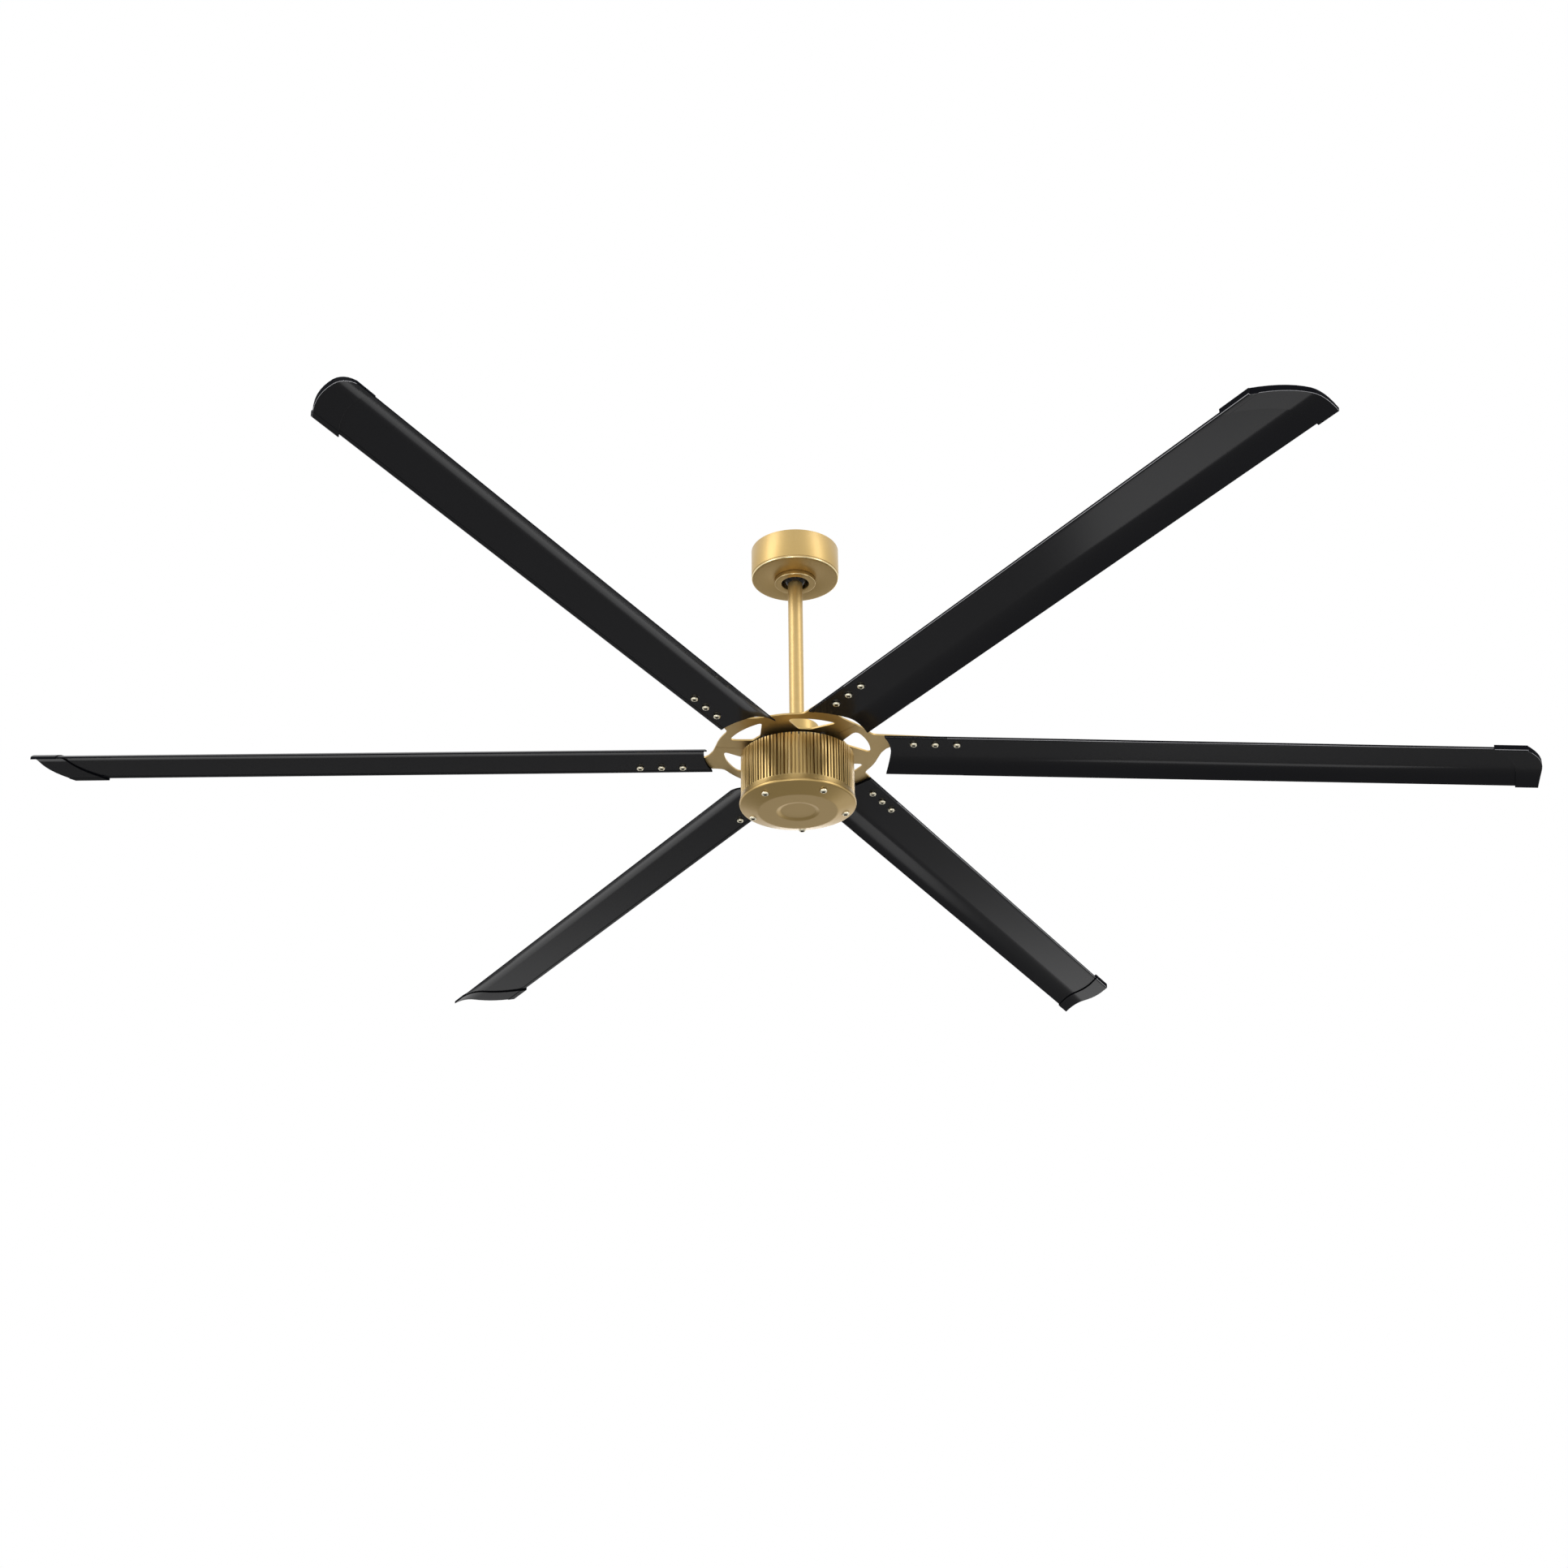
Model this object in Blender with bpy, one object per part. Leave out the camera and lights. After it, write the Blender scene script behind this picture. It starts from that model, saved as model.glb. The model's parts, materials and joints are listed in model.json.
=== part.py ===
"""Industrial ceiling fan: six aluminium blades on a hub plate, an outer-rotor motor and a downrod.

Metres, +Z up. The origin is the centre of the hanger bracket's top face, in the plane of the
ceiling and on the fan's axis. Blade 1 points along +X. The outlines of arms and blades are drawn
for blade 1: x runs along the blade, y across it, with the leading edge at negative y.
"""

import math

import bmesh
import bpy
from mathutils import Matrix, Vector

# Clearances between pieces that touch, and the overrun of every cut
seat_gap = 0.0003
bolt_clearance = 0.0003
cut_overrun = 0.002

# Ceiling canopy
canopy_radius = 0.076
canopy_height = 0.057
canopy_wall = 0.0015
canopy_edge_radius = 0.0035
canopy_hole_radius = 0.024

# Trim ring under the canopy, and the two screws that it hides
ring_inner_lip = 0.0031
ring_skirt = 0.0012
ring_face = 0.0014
ring_head_clearance = 0.0045
ring_groove_clearance = 0.0006
canopy_screw_radius = 0.0020
canopy_screw_head_radius = 0.0030
canopy_screw_head_height = 0.0022
canopy_screw_end = 0.0010

# Hanger bracket and ball
bracket_clearance = 0.0065
bracket_width = 0.056
bracket_sheet = 0.0025
cradle_edge = 0.0113
fixing_slot_length = 0.016
fixing_slot_radius = 0.0035
ball_radius = 0.025
ball_depth = 0.0445
ball_flat_height = 0.016
ball_seat_drop = 0.008
cradle_mouth_clearance = 0.0010

# Driver box that lies in the canopy
driver_length = 0.070
driver_width = 0.026
driver_height = 0.022
driver_corner = 0.003
driver_gap = 0.0035

# Downrod and the pins at its two ends
rod_radius = 0.0127
rod_wall = 0.0020
rod_length = 0.3522
rod_top_rise = 0.021
pin_radius = 0.0030
ball_pin_inset = 0.0020
coupler_pin_rise = 0.0020
rod_foot_to_pin = 0.0160

# Coupler between the downrod and the motor shaft, and the cover round it
coupler_wall = 0.0050
coupler_base_height = 0.012
coupler_cup_height = 0.028
cover_radius = 0.0374
cover_wall = 0.0015
cover_edge_radius = 0.003
cover_running_gap = 0.0012
plate_below_coupler = 0.003

# Hub plate, with angles in degrees from its nearest blade
plate_thickness = 0.003
plate_centre_hole_radius = 0.026
plate_rim_radius = 0.139
rim_band = 0.0155
window_bolt_web = 0.0017
window_start_reach = 0.0130
window_end_reach = 0.0080
window_foot_reach = 0.0040
window_start_angle = 20.0
window_end_angle = 60.0
window_foot_start_angle = 29.5
window_foot_end_angle = 42.5
arm_end_radius = 0.285
arm_front = 0.064
arm_back = 0.0275
arm_taper = 0.008
arm_end_chamfer = 0.004
arm_neck_past_rim = 0.031
arm_fillet_inset = 0.005
arm_fillet_angle = 31.5
rim_join_angle = 9.0

# Blades
blade_count = 6
blade_root_gap = 0.019
blade_nose = 0.067
blade_tail = 0.041
blade_thickness = 0.0045
blade_tail_thickness = 0.0022
blade_tail_drop = 0.0150
blade_bead_width = 0.0072
blade_bead_depth = 0.0008
blade_nose_rounding = 0.0030
blade_nose_start_angle = 30.0
blade_droop_share = 0.01618

# Screws that hold each blade to its arm
screws_per_blade = 3
first_screw_past_rim = 0.0543
last_screw_from_arm_end = 0.0191
screw_radius = 0.0022
screw_head_radius = 0.0060
screw_head_height = 0.0042
screw_end = 0.0015

# End caps of the blades
tip_radius = 1.270
cap_rake = 0.0475
cap_rake_power = 2.7
cap_front_cover = 0.057
cap_back_cover = 0.040
cap_front_wall = 0.0024
cap_back_wall = 0.0012
cap_end_wall = 0.0030

# Stator and rotor magnets
stator_radius = 0.070
stator_height = 0.040
stator_drop = 0.019
tooth_count = 12
tooth_tip_depth = 0.004
tooth_root_radius = 0.030
tooth_half_width = 0.0050
tooth_gap_width = 0.0040
winding_root_gap = 0.003
winding_tip_gap = 0.003
winding_height = 0.007
magnet_air_gap = 0.0010
magnet_thickness = 0.0062
magnet_height = 0.044

# Motor drum and the bolts that go through the whole rotor
drum_height = 0.080
drum_bolt_web = 0.0017
drum_outer_web = 0.0020
drum_rib_depth = 0.0087
drum_groove_depth = 0.0040
drum_rib_count = 48
drum_rib_shares = (0.02, 0.05, 0.38, 0.41, 0.48, 0.51, 0.84, 0.88)
bolt_count = 5
bolt_angle = 11.0
bolt_radius = 0.0025
bolt_head_radius = 0.0062
bolt_head_height = 0.0040
bolt_end = 0.0012

# Motor top cover
top_cover_thickness = 0.0037
top_cover_lip = 0.0012
top_cover_hole_radius = 0.017
boss_wall = 0.0022
boss_height = 0.0047
collar_radius = 0.045

# Motor bottom cap
cap_neck_step = 0.0005
cap_flare = 0.0020
cap_flare_height = 0.0095
cap_band_height = 0.0025
cap_edge_drop = 0.0016
cap_cone_height = 0.0081
cap_disc_radius = 0.067
dish_radius = 0.037
dish_slope_width = 0.009
dish_depth = 0.0024
cap_shell = 0.0040

# Shaft, bearings and the nut below the lower bearing
shaft_radius = 0.010
shaft_bore_radius = 0.0050
inner_race_radius = 0.0140
bearing_radius = 0.021
bearing_height = 0.012
bearing_wall = 0.0050
bearing_lip = 0.0040
nut_radius = 0.0140
nut_height = 0.0045
nut_pocket_height = 0.0065
shaft_end = 0.0008

# Shapes of the domed screw heads
dome_crown_share = 0.45
dome_shoulder_share = 0.85
dome_shoulder_height_share = 0.62

# Flats and steps of the round shapes
fine_sides = 40
middle_sides = 30
coarse_sides = 20
hole_sides = 8
screw_sides = 8
arc_steps = 3
curve_steps = 4
window_steps = 8
blade_steps = 6
smooth_angle = math.radians(32.0)

# Heights, worked down from the ceiling
canopy_floor_z = -canopy_height
canopy_inner_z = canopy_floor_z + canopy_wall
ball_z = -ball_depth
seat_z = ball_z - ball_seat_drop
rod_top_z = ball_z + rod_top_rise
rod_foot_z = rod_top_z - rod_length
foot_pin_z = rod_foot_z + rod_foot_to_pin
coupler_step_z = rod_foot_z - seat_gap
coupler_top_z = coupler_step_z + coupler_cup_height
coupler_foot_z = coupler_step_z - coupler_base_height
plate_top_z = coupler_foot_z - plate_below_coupler
plate_foot_z = plate_top_z - plate_thickness
boss_top_z = plate_foot_z - seat_gap
top_cover_z = boss_top_z - boss_height
top_cover_foot_z = top_cover_z - top_cover_thickness
drum_top_z = top_cover_foot_z - seat_gap
drum_foot_z = drum_top_z - drum_height
cap_top_z = drum_foot_z - seat_gap
cap_band_z = cap_top_z - cap_flare_height
cap_edge_z = cap_band_z - cap_band_height
cap_cone_z = cap_edge_z - cap_edge_drop
cap_foot_z = cap_cone_z - cap_cone_height
cap_floor_z = cap_foot_z + dish_depth + cap_shell
upper_race_foot_z = top_cover_foot_z - seat_gap - bearing_height
lower_shelf_z = cap_floor_z + nut_pocket_height
lower_race_foot_z = lower_shelf_z + seat_gap
lower_race_top_z = lower_race_foot_z + bearing_height
nut_top_z = lower_race_foot_z - seat_gap
nut_foot_z = nut_top_z - nut_height
stator_top_z = drum_top_z - stator_drop
stator_foot_z = stator_top_z - stator_height
blade_top_z = plate_foot_z - seat_gap
blade_foot_z = blade_top_z - blade_thickness

# Radii and widths that follow the sizes above
ring_groove_width = canopy_screw_head_radius * 2 + ring_groove_clearance * 2
ring_groove_inner = canopy_hole_radius + ring_inner_lip
ring_groove_outer = ring_groove_inner + ring_groove_width
ring_radius = ring_groove_outer + ring_skirt
ring_height = ring_face + canopy_screw_head_height + ring_head_clearance
canopy_screw_circle = (ring_groove_inner + ring_groove_outer) / 2
half_bracket_width = bracket_width / 2
bracket_reach = canopy_radius - canopy_wall - bracket_clearance
half_bracket = math.sqrt(bracket_reach ** 2 - half_bracket_width ** 2)
half_cradle = canopy_screw_circle + cradle_edge
fixing_slot_place = (half_bracket + half_cradle) / 2
cradle_hole_radius = math.sqrt(ball_radius ** 2 - ball_seat_drop ** 2) + seat_gap
cradle_foot_z = seat_z - bracket_sheet
pin_hole_radius = pin_radius + bolt_clearance
rod_bore_radius = rod_radius + seat_gap
coupler_radius = rod_bore_radius + coupler_wall
bolt_hole_radius = bolt_radius + bolt_clearance
screw_hole_radius = screw_radius + bolt_clearance
magnet_bore_radius = stator_radius + magnet_air_gap
magnet_radius = magnet_bore_radius + magnet_thickness
drum_bore_radius = magnet_radius + seat_gap
bolt_circle = drum_bore_radius + drum_bolt_web + bolt_hole_radius
drum_wall_radius = bolt_circle + bolt_hole_radius + drum_outer_web
drum_rib_radius = drum_wall_radius + drum_rib_depth
top_cover_radius = drum_wall_radius + top_cover_lip
bearing_pocket_radius = bearing_radius + seat_gap
bearing_seat_radius = bearing_pocket_radius + bearing_wall
cap_neck_radius = drum_rib_radius + cap_neck_step
cap_radius = cap_neck_radius + cap_flare
cap_cone_radius = cap_radius - cap_edge_drop
window_outer_radius = plate_rim_radius - rim_band
window_inner_radius = bolt_circle + bolt_hole_radius + window_bolt_web
blade_root_radius = plate_rim_radius + blade_root_gap
arm_neck_radius = plate_rim_radius + arm_neck_past_rim
arm_fillet_end_radius = plate_rim_radius - arm_fillet_inset
screw_line = (arm_front + arm_back) / 2
first_screw_radius = plate_rim_radius + first_screw_past_rim
last_screw_radius = arm_end_radius - last_screw_from_arm_end
screw_pitch = (last_screw_radius - first_screw_radius) / (screws_per_blade - 1)
tooth_neck_radius = stator_radius - tooth_tip_depth
winding_inner_radius = tooth_root_radius + winding_root_gap
sector_angle = 2.0 * math.pi / blade_count


# Outlines

def polar(radius, degrees):
    angle = math.radians(degrees)
    return (radius * math.cos(angle), radius * math.sin(angle))


def swung(point, angle):
    """The point, turned about the origin by an angle in radians."""
    x, y = point
    return (x * math.cos(angle) - y * math.sin(angle), x * math.sin(angle) + y * math.cos(angle))


def arc(centre, radius, start, end, steps):
    """Points of an arc between two angles in degrees, with both ends."""
    points = []
    for step in range(steps + 1):
        x, y = polar(radius, start + (end - start) * step / steps)
        points.append((centre[0] + x, centre[1] + y))
    return points


def circle(centre, radius, sides):
    return arc(centre, radius, 0, 360, sides)[:-1]


def curve(first, control, last, steps):
    """Points of a quadratic curve, with both ends."""
    points = []
    for step in range(steps + 1):
        share = step / steps
        weights = ((1 - share) ** 2, 2 * share * (1 - share), share ** 2)
        points.append(tuple(sum(w * p for w, p in zip(weights, axis)) for axis in zip(first, control, last)))
    return points


def toward(first, second, reach):
    """The point that lies the reach away from the first point, towards the second."""
    start = Vector(first)
    return tuple(start + (Vector(second) - start).normalized() * reach)


# Meshes

def turned(profile, sides):
    """The closed profile of (radius, height) points, turned about the Z axis."""
    shape = bmesh.new()
    rings = []
    for radius, height in profile:
        if radius == 0:
            rings.append([shape.verts.new((0, 0, height))] * sides)
        else:
            rings.append([shape.verts.new((x, y, height)) for x, y in circle((0, 0), radius, sides)])
    for first, second in zip(rings, rings[1:] + rings[:1]):
        for step in range(sides):
            after = (step + 1) % sides
            corners = list(dict.fromkeys([first[step], first[after], second[after], second[step]]))
            if len(corners) > 2:
                shape.faces.new(corners)
    return shape


def slab(outline, holes, low, high):
    """A flat plate with holes, from its outline and the outlines of the holes."""
    shape = bmesh.new()
    edges = []
    for loop in [outline] + holes:
        corners = [shape.verts.new((x, y, low)) for x, y in loop]
        edges += [shape.edges.new(pair) for pair in zip(corners, corners[1:] + corners[:1])]
    bmesh.ops.triangle_fill(shape, edges=edges, use_beauty=True)
    raised = bmesh.ops.extrude_face_region(shape, geom=shape.faces[:])["geom"]
    tops = [item for item in raised if isinstance(item, bmesh.types.BMVert)]
    bmesh.ops.translate(shape, vec=(0, 0, high - low), verts=tops)
    return shape


def add_prism(shape, outline, low, high):
    """Adds a closed upright prism to a mesh, from a convex outline."""
    feet = [shape.verts.new((x, y, low)) for x, y in outline]
    tops = [shape.verts.new((x, y, high)) for x, y in outline]
    for foot, next_foot, top, next_top in zip(feet, feet[1:] + feet[:1], tops, tops[1:] + tops[:1]):
        shape.faces.new([foot, next_foot, next_top, top])
    shape.faces.new(list(reversed(feet)))
    shape.faces.new(tops)


def cross_pin(radius, half_length, height, sides):
    """A closed round pin along X, through the fan's axis."""
    shape = bmesh.new()
    add_prism(shape, circle((0, 0), radius, sides), -half_length, half_length)
    lay = Matrix.Rotation(math.pi / 2, 4, "Y")
    bmesh.ops.transform(shape, matrix=Matrix.Translation((0, 0, height)) @ lay, verts=shape.verts)
    return shape


def domed_screw(head_radius, head_height, shank_radius, head_z, end_z):
    """A screw with its domed head down: head_z is the face that bears on the work."""
    shoulder_z = head_z - head_height * dome_shoulder_height_share
    profile = [(0, head_z - head_height), (head_radius * dome_crown_share, head_z - head_height),
               (head_radius * dome_shoulder_share, shoulder_z), (head_radius, head_z),
               (shank_radius, head_z), (shank_radius, end_z), (0, end_z)]
    return turned(profile, screw_sides)


def moved(shape, matrix):
    bmesh.ops.transform(shape, matrix=matrix, verts=shape.verts)
    return shape


# Objects

def finish(name, colour, roughness, metallic):
    made = bpy.data.materials.new(name)
    made.use_nodes = True
    shader = made.node_tree.nodes["Principled BSDF"]
    shader.inputs["Base Color"].default_value = (*colour, 1.0)
    shader.inputs["Roughness"].default_value = roughness
    shader.inputs["Metallic"].default_value = metallic
    made.diffuse_color = (*colour, 1.0)
    return made


def make_finishes():
    return {
        "gold": finish("champagne_gold", (0.60, 0.44, 0.20), 0.38, 1.0),
        "bright gold": finish("gold_screw", (0.78, 0.62, 0.34), 0.25, 1.0),
        "blade": finish("black_blade", (0.035, 0.035, 0.038), 0.42, 0.0),
        "end cap": finish("black_end_cap", (0.028, 0.028, 0.030), 0.35, 0.0),
        "ball": finish("black_ball", (0.015, 0.015, 0.016), 0.30, 0.0),
        "bracket": finish("black_bracket", (0.030, 0.030, 0.030), 0.50, 0.6),
        "steel": finish("bright_steel", (0.56, 0.56, 0.58), 0.30, 1.0),
        "core": finish("stator_steel", (0.25, 0.25, 0.27), 0.50, 1.0),
        "copper": finish("copper_winding", (0.62, 0.28, 0.12), 0.35, 1.0),
        "magnet": finish("magnet_grey", (0.12, 0.12, 0.13), 0.50, 0.7),
        "driver": finish("driver_case", (0.050, 0.050, 0.055), 0.50, 0.0),
    }


def add_carrier(name, height, above):
    """An empty that carries the pieces of one body, on the axis of its joint."""
    carrier = bpy.data.objects.new(name, None)
    bpy.context.scene.collection.objects.link(carrier)
    carrier.parent = above
    carrier.matrix_world = Matrix.Translation((0, 0, height))
    bpy.context.view_layer.update()
    return carrier


def add_part(name, shape, surface, carrier):
    """Makes a mesh into a part that keeps its place in the fan's own frame."""
    bmesh.ops.recalc_face_normals(shape, faces=shape.faces[:])
    mesh = bpy.data.meshes.new(name)
    shape.to_mesh(mesh)
    shape.free()
    mesh.materials.append(surface)
    mesh.shade_smooth()
    mesh.set_sharp_from_angle(angle=smooth_angle)
    part = bpy.data.objects.new(name, mesh)
    bpy.context.scene.collection.objects.link(part)
    part.parent = carrier
    part.matrix_parent_inverse = carrier.matrix_world.inverted()
    return part


def add_boolean(part, helper_name, shape, operation):
    """Cuts a helper's shape from a part, or joins it to the part."""
    bmesh.ops.recalc_face_normals(shape, faces=shape.faces[:])
    mesh = bpy.data.meshes.new(helper_name)
    shape.to_mesh(mesh)
    shape.free()
    helper = bpy.data.objects.new(helper_name, mesh)
    bpy.context.scene.collection.objects.link(helper)
    helper.hide_render = True
    helper.display_type = "WIRE"
    modifier = part.modifiers.new(helper_name, "BOOLEAN")
    modifier.operation = operation
    modifier.object = helper
    modifier.solver = "EXACT"


# Pieces at the ceiling

def make_bracket(surface, carrier):
    """Folded bracket: ceiling plate, two legs, and the cradle in which the ball sits."""
    inner = half_cradle - bracket_sheet
    outside = [(-half_bracket, 0), (half_bracket, 0), (half_bracket, -bracket_sheet),
               (half_cradle, -bracket_sheet), (half_cradle, cradle_foot_z), (-half_cradle, cradle_foot_z),
               (-half_cradle, -bracket_sheet), (-half_bracket, -bracket_sheet)]
    inside = [(-inner, -bracket_sheet), (inner, -bracket_sheet), (inner, seat_z), (-inner, seat_z)]
    shape = slab(outside, [inside], -half_bracket_width, half_bracket_width)
    moved(shape, Matrix.Rotation(math.pi / 2, 4, "X"))
    bracket = add_part("ceiling_bracket", shape, surface, carrier)
    low, high = cradle_foot_z - cut_overrun, seat_z + cut_overrun
    seat = bmesh.new()
    add_prism(seat, circle((0, 0), cradle_hole_radius, middle_sides), low, high)
    for side in (-1, 1):
        place = (side * canopy_screw_circle, 0)
        add_prism(seat, circle(place, canopy_screw_radius + bolt_clearance, hole_sides), low, high)
    add_boolean(bracket, "cradle_hole_cutter", seat, "DIFFERENCE")
    mouth = bmesh.new()
    half_mouth = rod_radius + cradle_mouth_clearance
    front = -half_bracket_width - cut_overrun
    mouth_outline = [(-half_mouth, front), (half_mouth, front), (half_mouth, 0), (-half_mouth, 0)]
    add_prism(mouth, mouth_outline, low, high)
    add_boolean(bracket, "cradle_mouth_cutter", mouth, "DIFFERENCE")
    slots = bmesh.new()
    reach = fixing_slot_length / 2 - fixing_slot_radius
    for side in (-1, 1):
        place = side * fixing_slot_place
        outline = arc((place, reach), fixing_slot_radius, 0, 180, curve_steps)
        outline += arc((place, -reach), fixing_slot_radius, 180, 360, curve_steps)
        add_prism(slots, outline, -bracket_sheet - cut_overrun, cut_overrun)
    add_boolean(bracket, "fixing_slot_cutter", slots, "DIFFERENCE")


def make_canopy(surface, carrier):
    centre = (canopy_radius - canopy_edge_radius, canopy_floor_z + canopy_edge_radius)
    profile = [(canopy_radius, 0)] + arc(centre, canopy_edge_radius, 0, -90, arc_steps)
    profile += [(canopy_hole_radius, canopy_floor_z), (canopy_hole_radius, canopy_inner_z)]
    profile += arc(centre, canopy_edge_radius - canopy_wall, -90, 0, arc_steps)
    profile += [(canopy_radius - canopy_wall, 0)]
    canopy = add_part("canopy", turned(profile, fine_sides), surface, carrier)
    holes = bmesh.new()
    for side in (-1, 1):
        outline = circle((side * canopy_screw_circle, 0), canopy_screw_radius + bolt_clearance, hole_sides)
        add_prism(holes, outline, canopy_floor_z - cut_overrun, canopy_inner_z + cut_overrun)
    add_boolean(canopy, "canopy_hole_cutter", holes, "DIFFERENCE")


def make_canopy_ring(surface, carrier):
    """Ring that hides the canopy screws in a groove on its upper side."""
    top = canopy_floor_z - seat_gap
    foot = top - ring_height
    ease = ring_skirt
    profile = [(ring_radius, top), (ring_radius, foot + ease), (ring_radius - ease, foot),
               (canopy_hole_radius + ease, foot), (canopy_hole_radius, foot + ease),
               (canopy_hole_radius, top), (ring_groove_inner, top),
               (ring_groove_inner, foot + ring_face), (ring_groove_outer, foot + ring_face),
               (ring_groove_outer, top)]
    add_part("canopy_ring", turned(profile, middle_sides), surface, carrier)


def make_canopy_screws(surface, carrier):
    for number, side in enumerate((-1, 1), start=1):
        shape = domed_screw(canopy_screw_head_radius, canopy_screw_head_height, canopy_screw_radius,
                            canopy_floor_z - seat_gap, seat_z + canopy_screw_end)
        moved(shape, Matrix.Translation((side * canopy_screw_circle, 0, 0)))
        add_part(f"canopy_screw_{number}", shape, surface, carrier)


def make_driver(surface, carrier):
    """Driver and receiver box, lying on the canopy's floor behind the bracket."""
    reach_x = driver_length / 2 - driver_corner
    low_y = half_bracket_width + driver_gap + driver_corner
    high_y = low_y + driver_width - driver_corner * 2
    outline = arc((reach_x, high_y), driver_corner, 0, 90, arc_steps)
    outline += arc((-reach_x, high_y), driver_corner, 90, 180, arc_steps)
    outline += arc((-reach_x, low_y), driver_corner, 180, 270, arc_steps)
    outline += arc((reach_x, low_y), driver_corner, 270, 360, arc_steps)
    foot = canopy_inner_z + seat_gap
    add_part("driver_box", slab(outline, [], foot, foot + driver_height), surface, carrier)


# Pieces that hang from the ball and don't turn

def make_ball(surface, carrier):
    """Ball with a flat top, bored for the downrod and cross drilled for its pin."""
    top_angle = math.degrees(math.asin(ball_flat_height / ball_radius))
    foot_angle = math.degrees(math.acos(rod_bore_radius / ball_radius))
    profile = arc((0, ball_z), ball_radius, top_angle, -foot_angle, curve_steps * 2)
    profile.append((rod_bore_radius, ball_z + ball_flat_height))
    ball = add_part("hanger_ball", turned(profile, coarse_sides), surface, carrier)
    cutter = cross_pin(pin_hole_radius, ball_radius + cut_overrun, ball_z, hole_sides)
    add_boolean(ball, "ball_pin_cutter", cutter, "DIFFERENCE")


def make_pins(surface, carrier):
    ball_pin = cross_pin(pin_radius, ball_radius - ball_pin_inset, ball_z, hole_sides)
    add_part("hanger_pin", ball_pin, surface, carrier)
    coupler_pin = cross_pin(pin_radius, coupler_radius + coupler_pin_rise, foot_pin_z, hole_sides)
    add_part("coupling_pin", coupler_pin, surface, carrier)


def make_downrod(surface, carrier):
    inner = rod_radius - rod_wall
    profile = [(rod_radius, rod_top_z), (rod_radius, rod_foot_z), (inner, rod_foot_z), (inner, rod_top_z)]
    rod = add_part("downrod", turned(profile, middle_sides), surface, carrier)
    for name, height in (("rod_top_cutter", ball_z), ("rod_foot_cutter", foot_pin_z)):
        cutter = cross_pin(pin_hole_radius, rod_radius + cut_overrun, height, hole_sides)
        add_boolean(rod, name, cutter, "DIFFERENCE")


def make_coupler(surface, carrier):
    """Socket that takes the downrod above and the motor shaft below."""
    shaft_hole = shaft_radius + seat_gap
    profile = [(coupler_radius, coupler_top_z), (coupler_radius, coupler_foot_z),
               (shaft_hole, coupler_foot_z), (shaft_hole, coupler_step_z),
               (rod_bore_radius, coupler_step_z), (rod_bore_radius, coupler_top_z)]
    coupler = add_part("motor_coupler", turned(profile, coarse_sides), surface, carrier)
    cutter = cross_pin(pin_hole_radius, coupler_radius + cut_overrun, foot_pin_z, hole_sides)
    add_boolean(coupler, "coupler_pin_cutter", cutter, "DIFFERENCE")


def make_coupling_cover(surface, carrier):
    """Cup that rests on the coupler and hides it."""
    roof_z = coupler_top_z + seat_gap
    top_z = roof_z + cover_wall
    foot_z = plate_top_z + cover_running_gap
    centre = (cover_radius - cover_edge_radius, top_z - cover_edge_radius)
    profile = arc(centre, cover_edge_radius, 90, 0, arc_steps)
    profile += [(cover_radius, foot_z), (cover_radius - cover_wall, foot_z)]
    profile += arc(centre, cover_edge_radius - cover_wall, 0, 90, arc_steps)
    profile += [(rod_bore_radius, roof_z), (rod_bore_radius, top_z)]
    add_part("coupling_cover", turned(profile, middle_sides), surface, carrier)


def make_shaft(surface, carrier):
    """Hollow shaft, thicker between the bearings, where it carries the stator."""
    top_z = coupler_step_z - seat_gap
    shoulder_z = upper_race_foot_z - seat_gap
    lower_shoulder_z = lower_race_top_z + seat_gap
    foot_z = nut_foot_z - shaft_end
    profile = [(shaft_radius, top_z), (shaft_radius, shoulder_z), (inner_race_radius, shoulder_z),
               (inner_race_radius, lower_shoulder_z), (shaft_radius, lower_shoulder_z),
               (shaft_radius, foot_z), (shaft_bore_radius, foot_z), (shaft_bore_radius, top_z)]
    add_part("motor_shaft", turned(profile, coarse_sides), surface, carrier)


def make_nut(surface, carrier):
    """Hexagon nut under the lower bearing's inner race: it keeps the rotor on the shaft."""
    hole = circle((0, 0), shaft_radius + seat_gap, coarse_sides)
    shape = slab(circle((0, 0), nut_radius, 6), [hole], nut_foot_z, nut_top_z)
    add_part("shaft_nut", shape, surface, carrier)


def make_race(name, inner_radius, outer_radius, foot_z, surface, carrier):
    """One race of a shielded ball bearing, with its share of the balls and shields."""
    top_z = foot_z + bearing_height
    profile = [(outer_radius, top_z), (outer_radius, foot_z), (inner_radius, foot_z), (inner_radius, top_z)]
    add_part(name, turned(profile, coarse_sides), surface, carrier)


def make_stator_core(surface, carrier):
    """Laminated core: narrow teeth with wide tips, and slots between them."""
    half_pitch = math.pi / tooth_count
    tip_angle = half_pitch - tooth_gap_width / 2 / stator_radius
    root_x = math.sqrt(tooth_root_radius ** 2 - tooth_half_width ** 2)
    tip_x, tip_y = tooth_neck_radius * math.cos(tip_angle), tooth_neck_radius * math.sin(tip_angle)
    tooth = [(root_x, -tooth_half_width), (tooth_neck_radius, -tooth_half_width), (tip_x, -tip_y)]
    tooth += arc((0, 0), stator_radius, -math.degrees(tip_angle), math.degrees(tip_angle), 2)
    tooth += [(tip_x, tip_y), (tooth_neck_radius, tooth_half_width), (root_x, tooth_half_width)]
    outline = []
    for number in range(tooth_count):
        outline += [swung(point, 2 * half_pitch * number) for point in tooth]
    hole = circle((0, 0), inner_race_radius + seat_gap, coarse_sides)
    add_part("stator_core", slab(outline, [hole], stator_foot_z, stator_top_z), surface, carrier)


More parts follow.
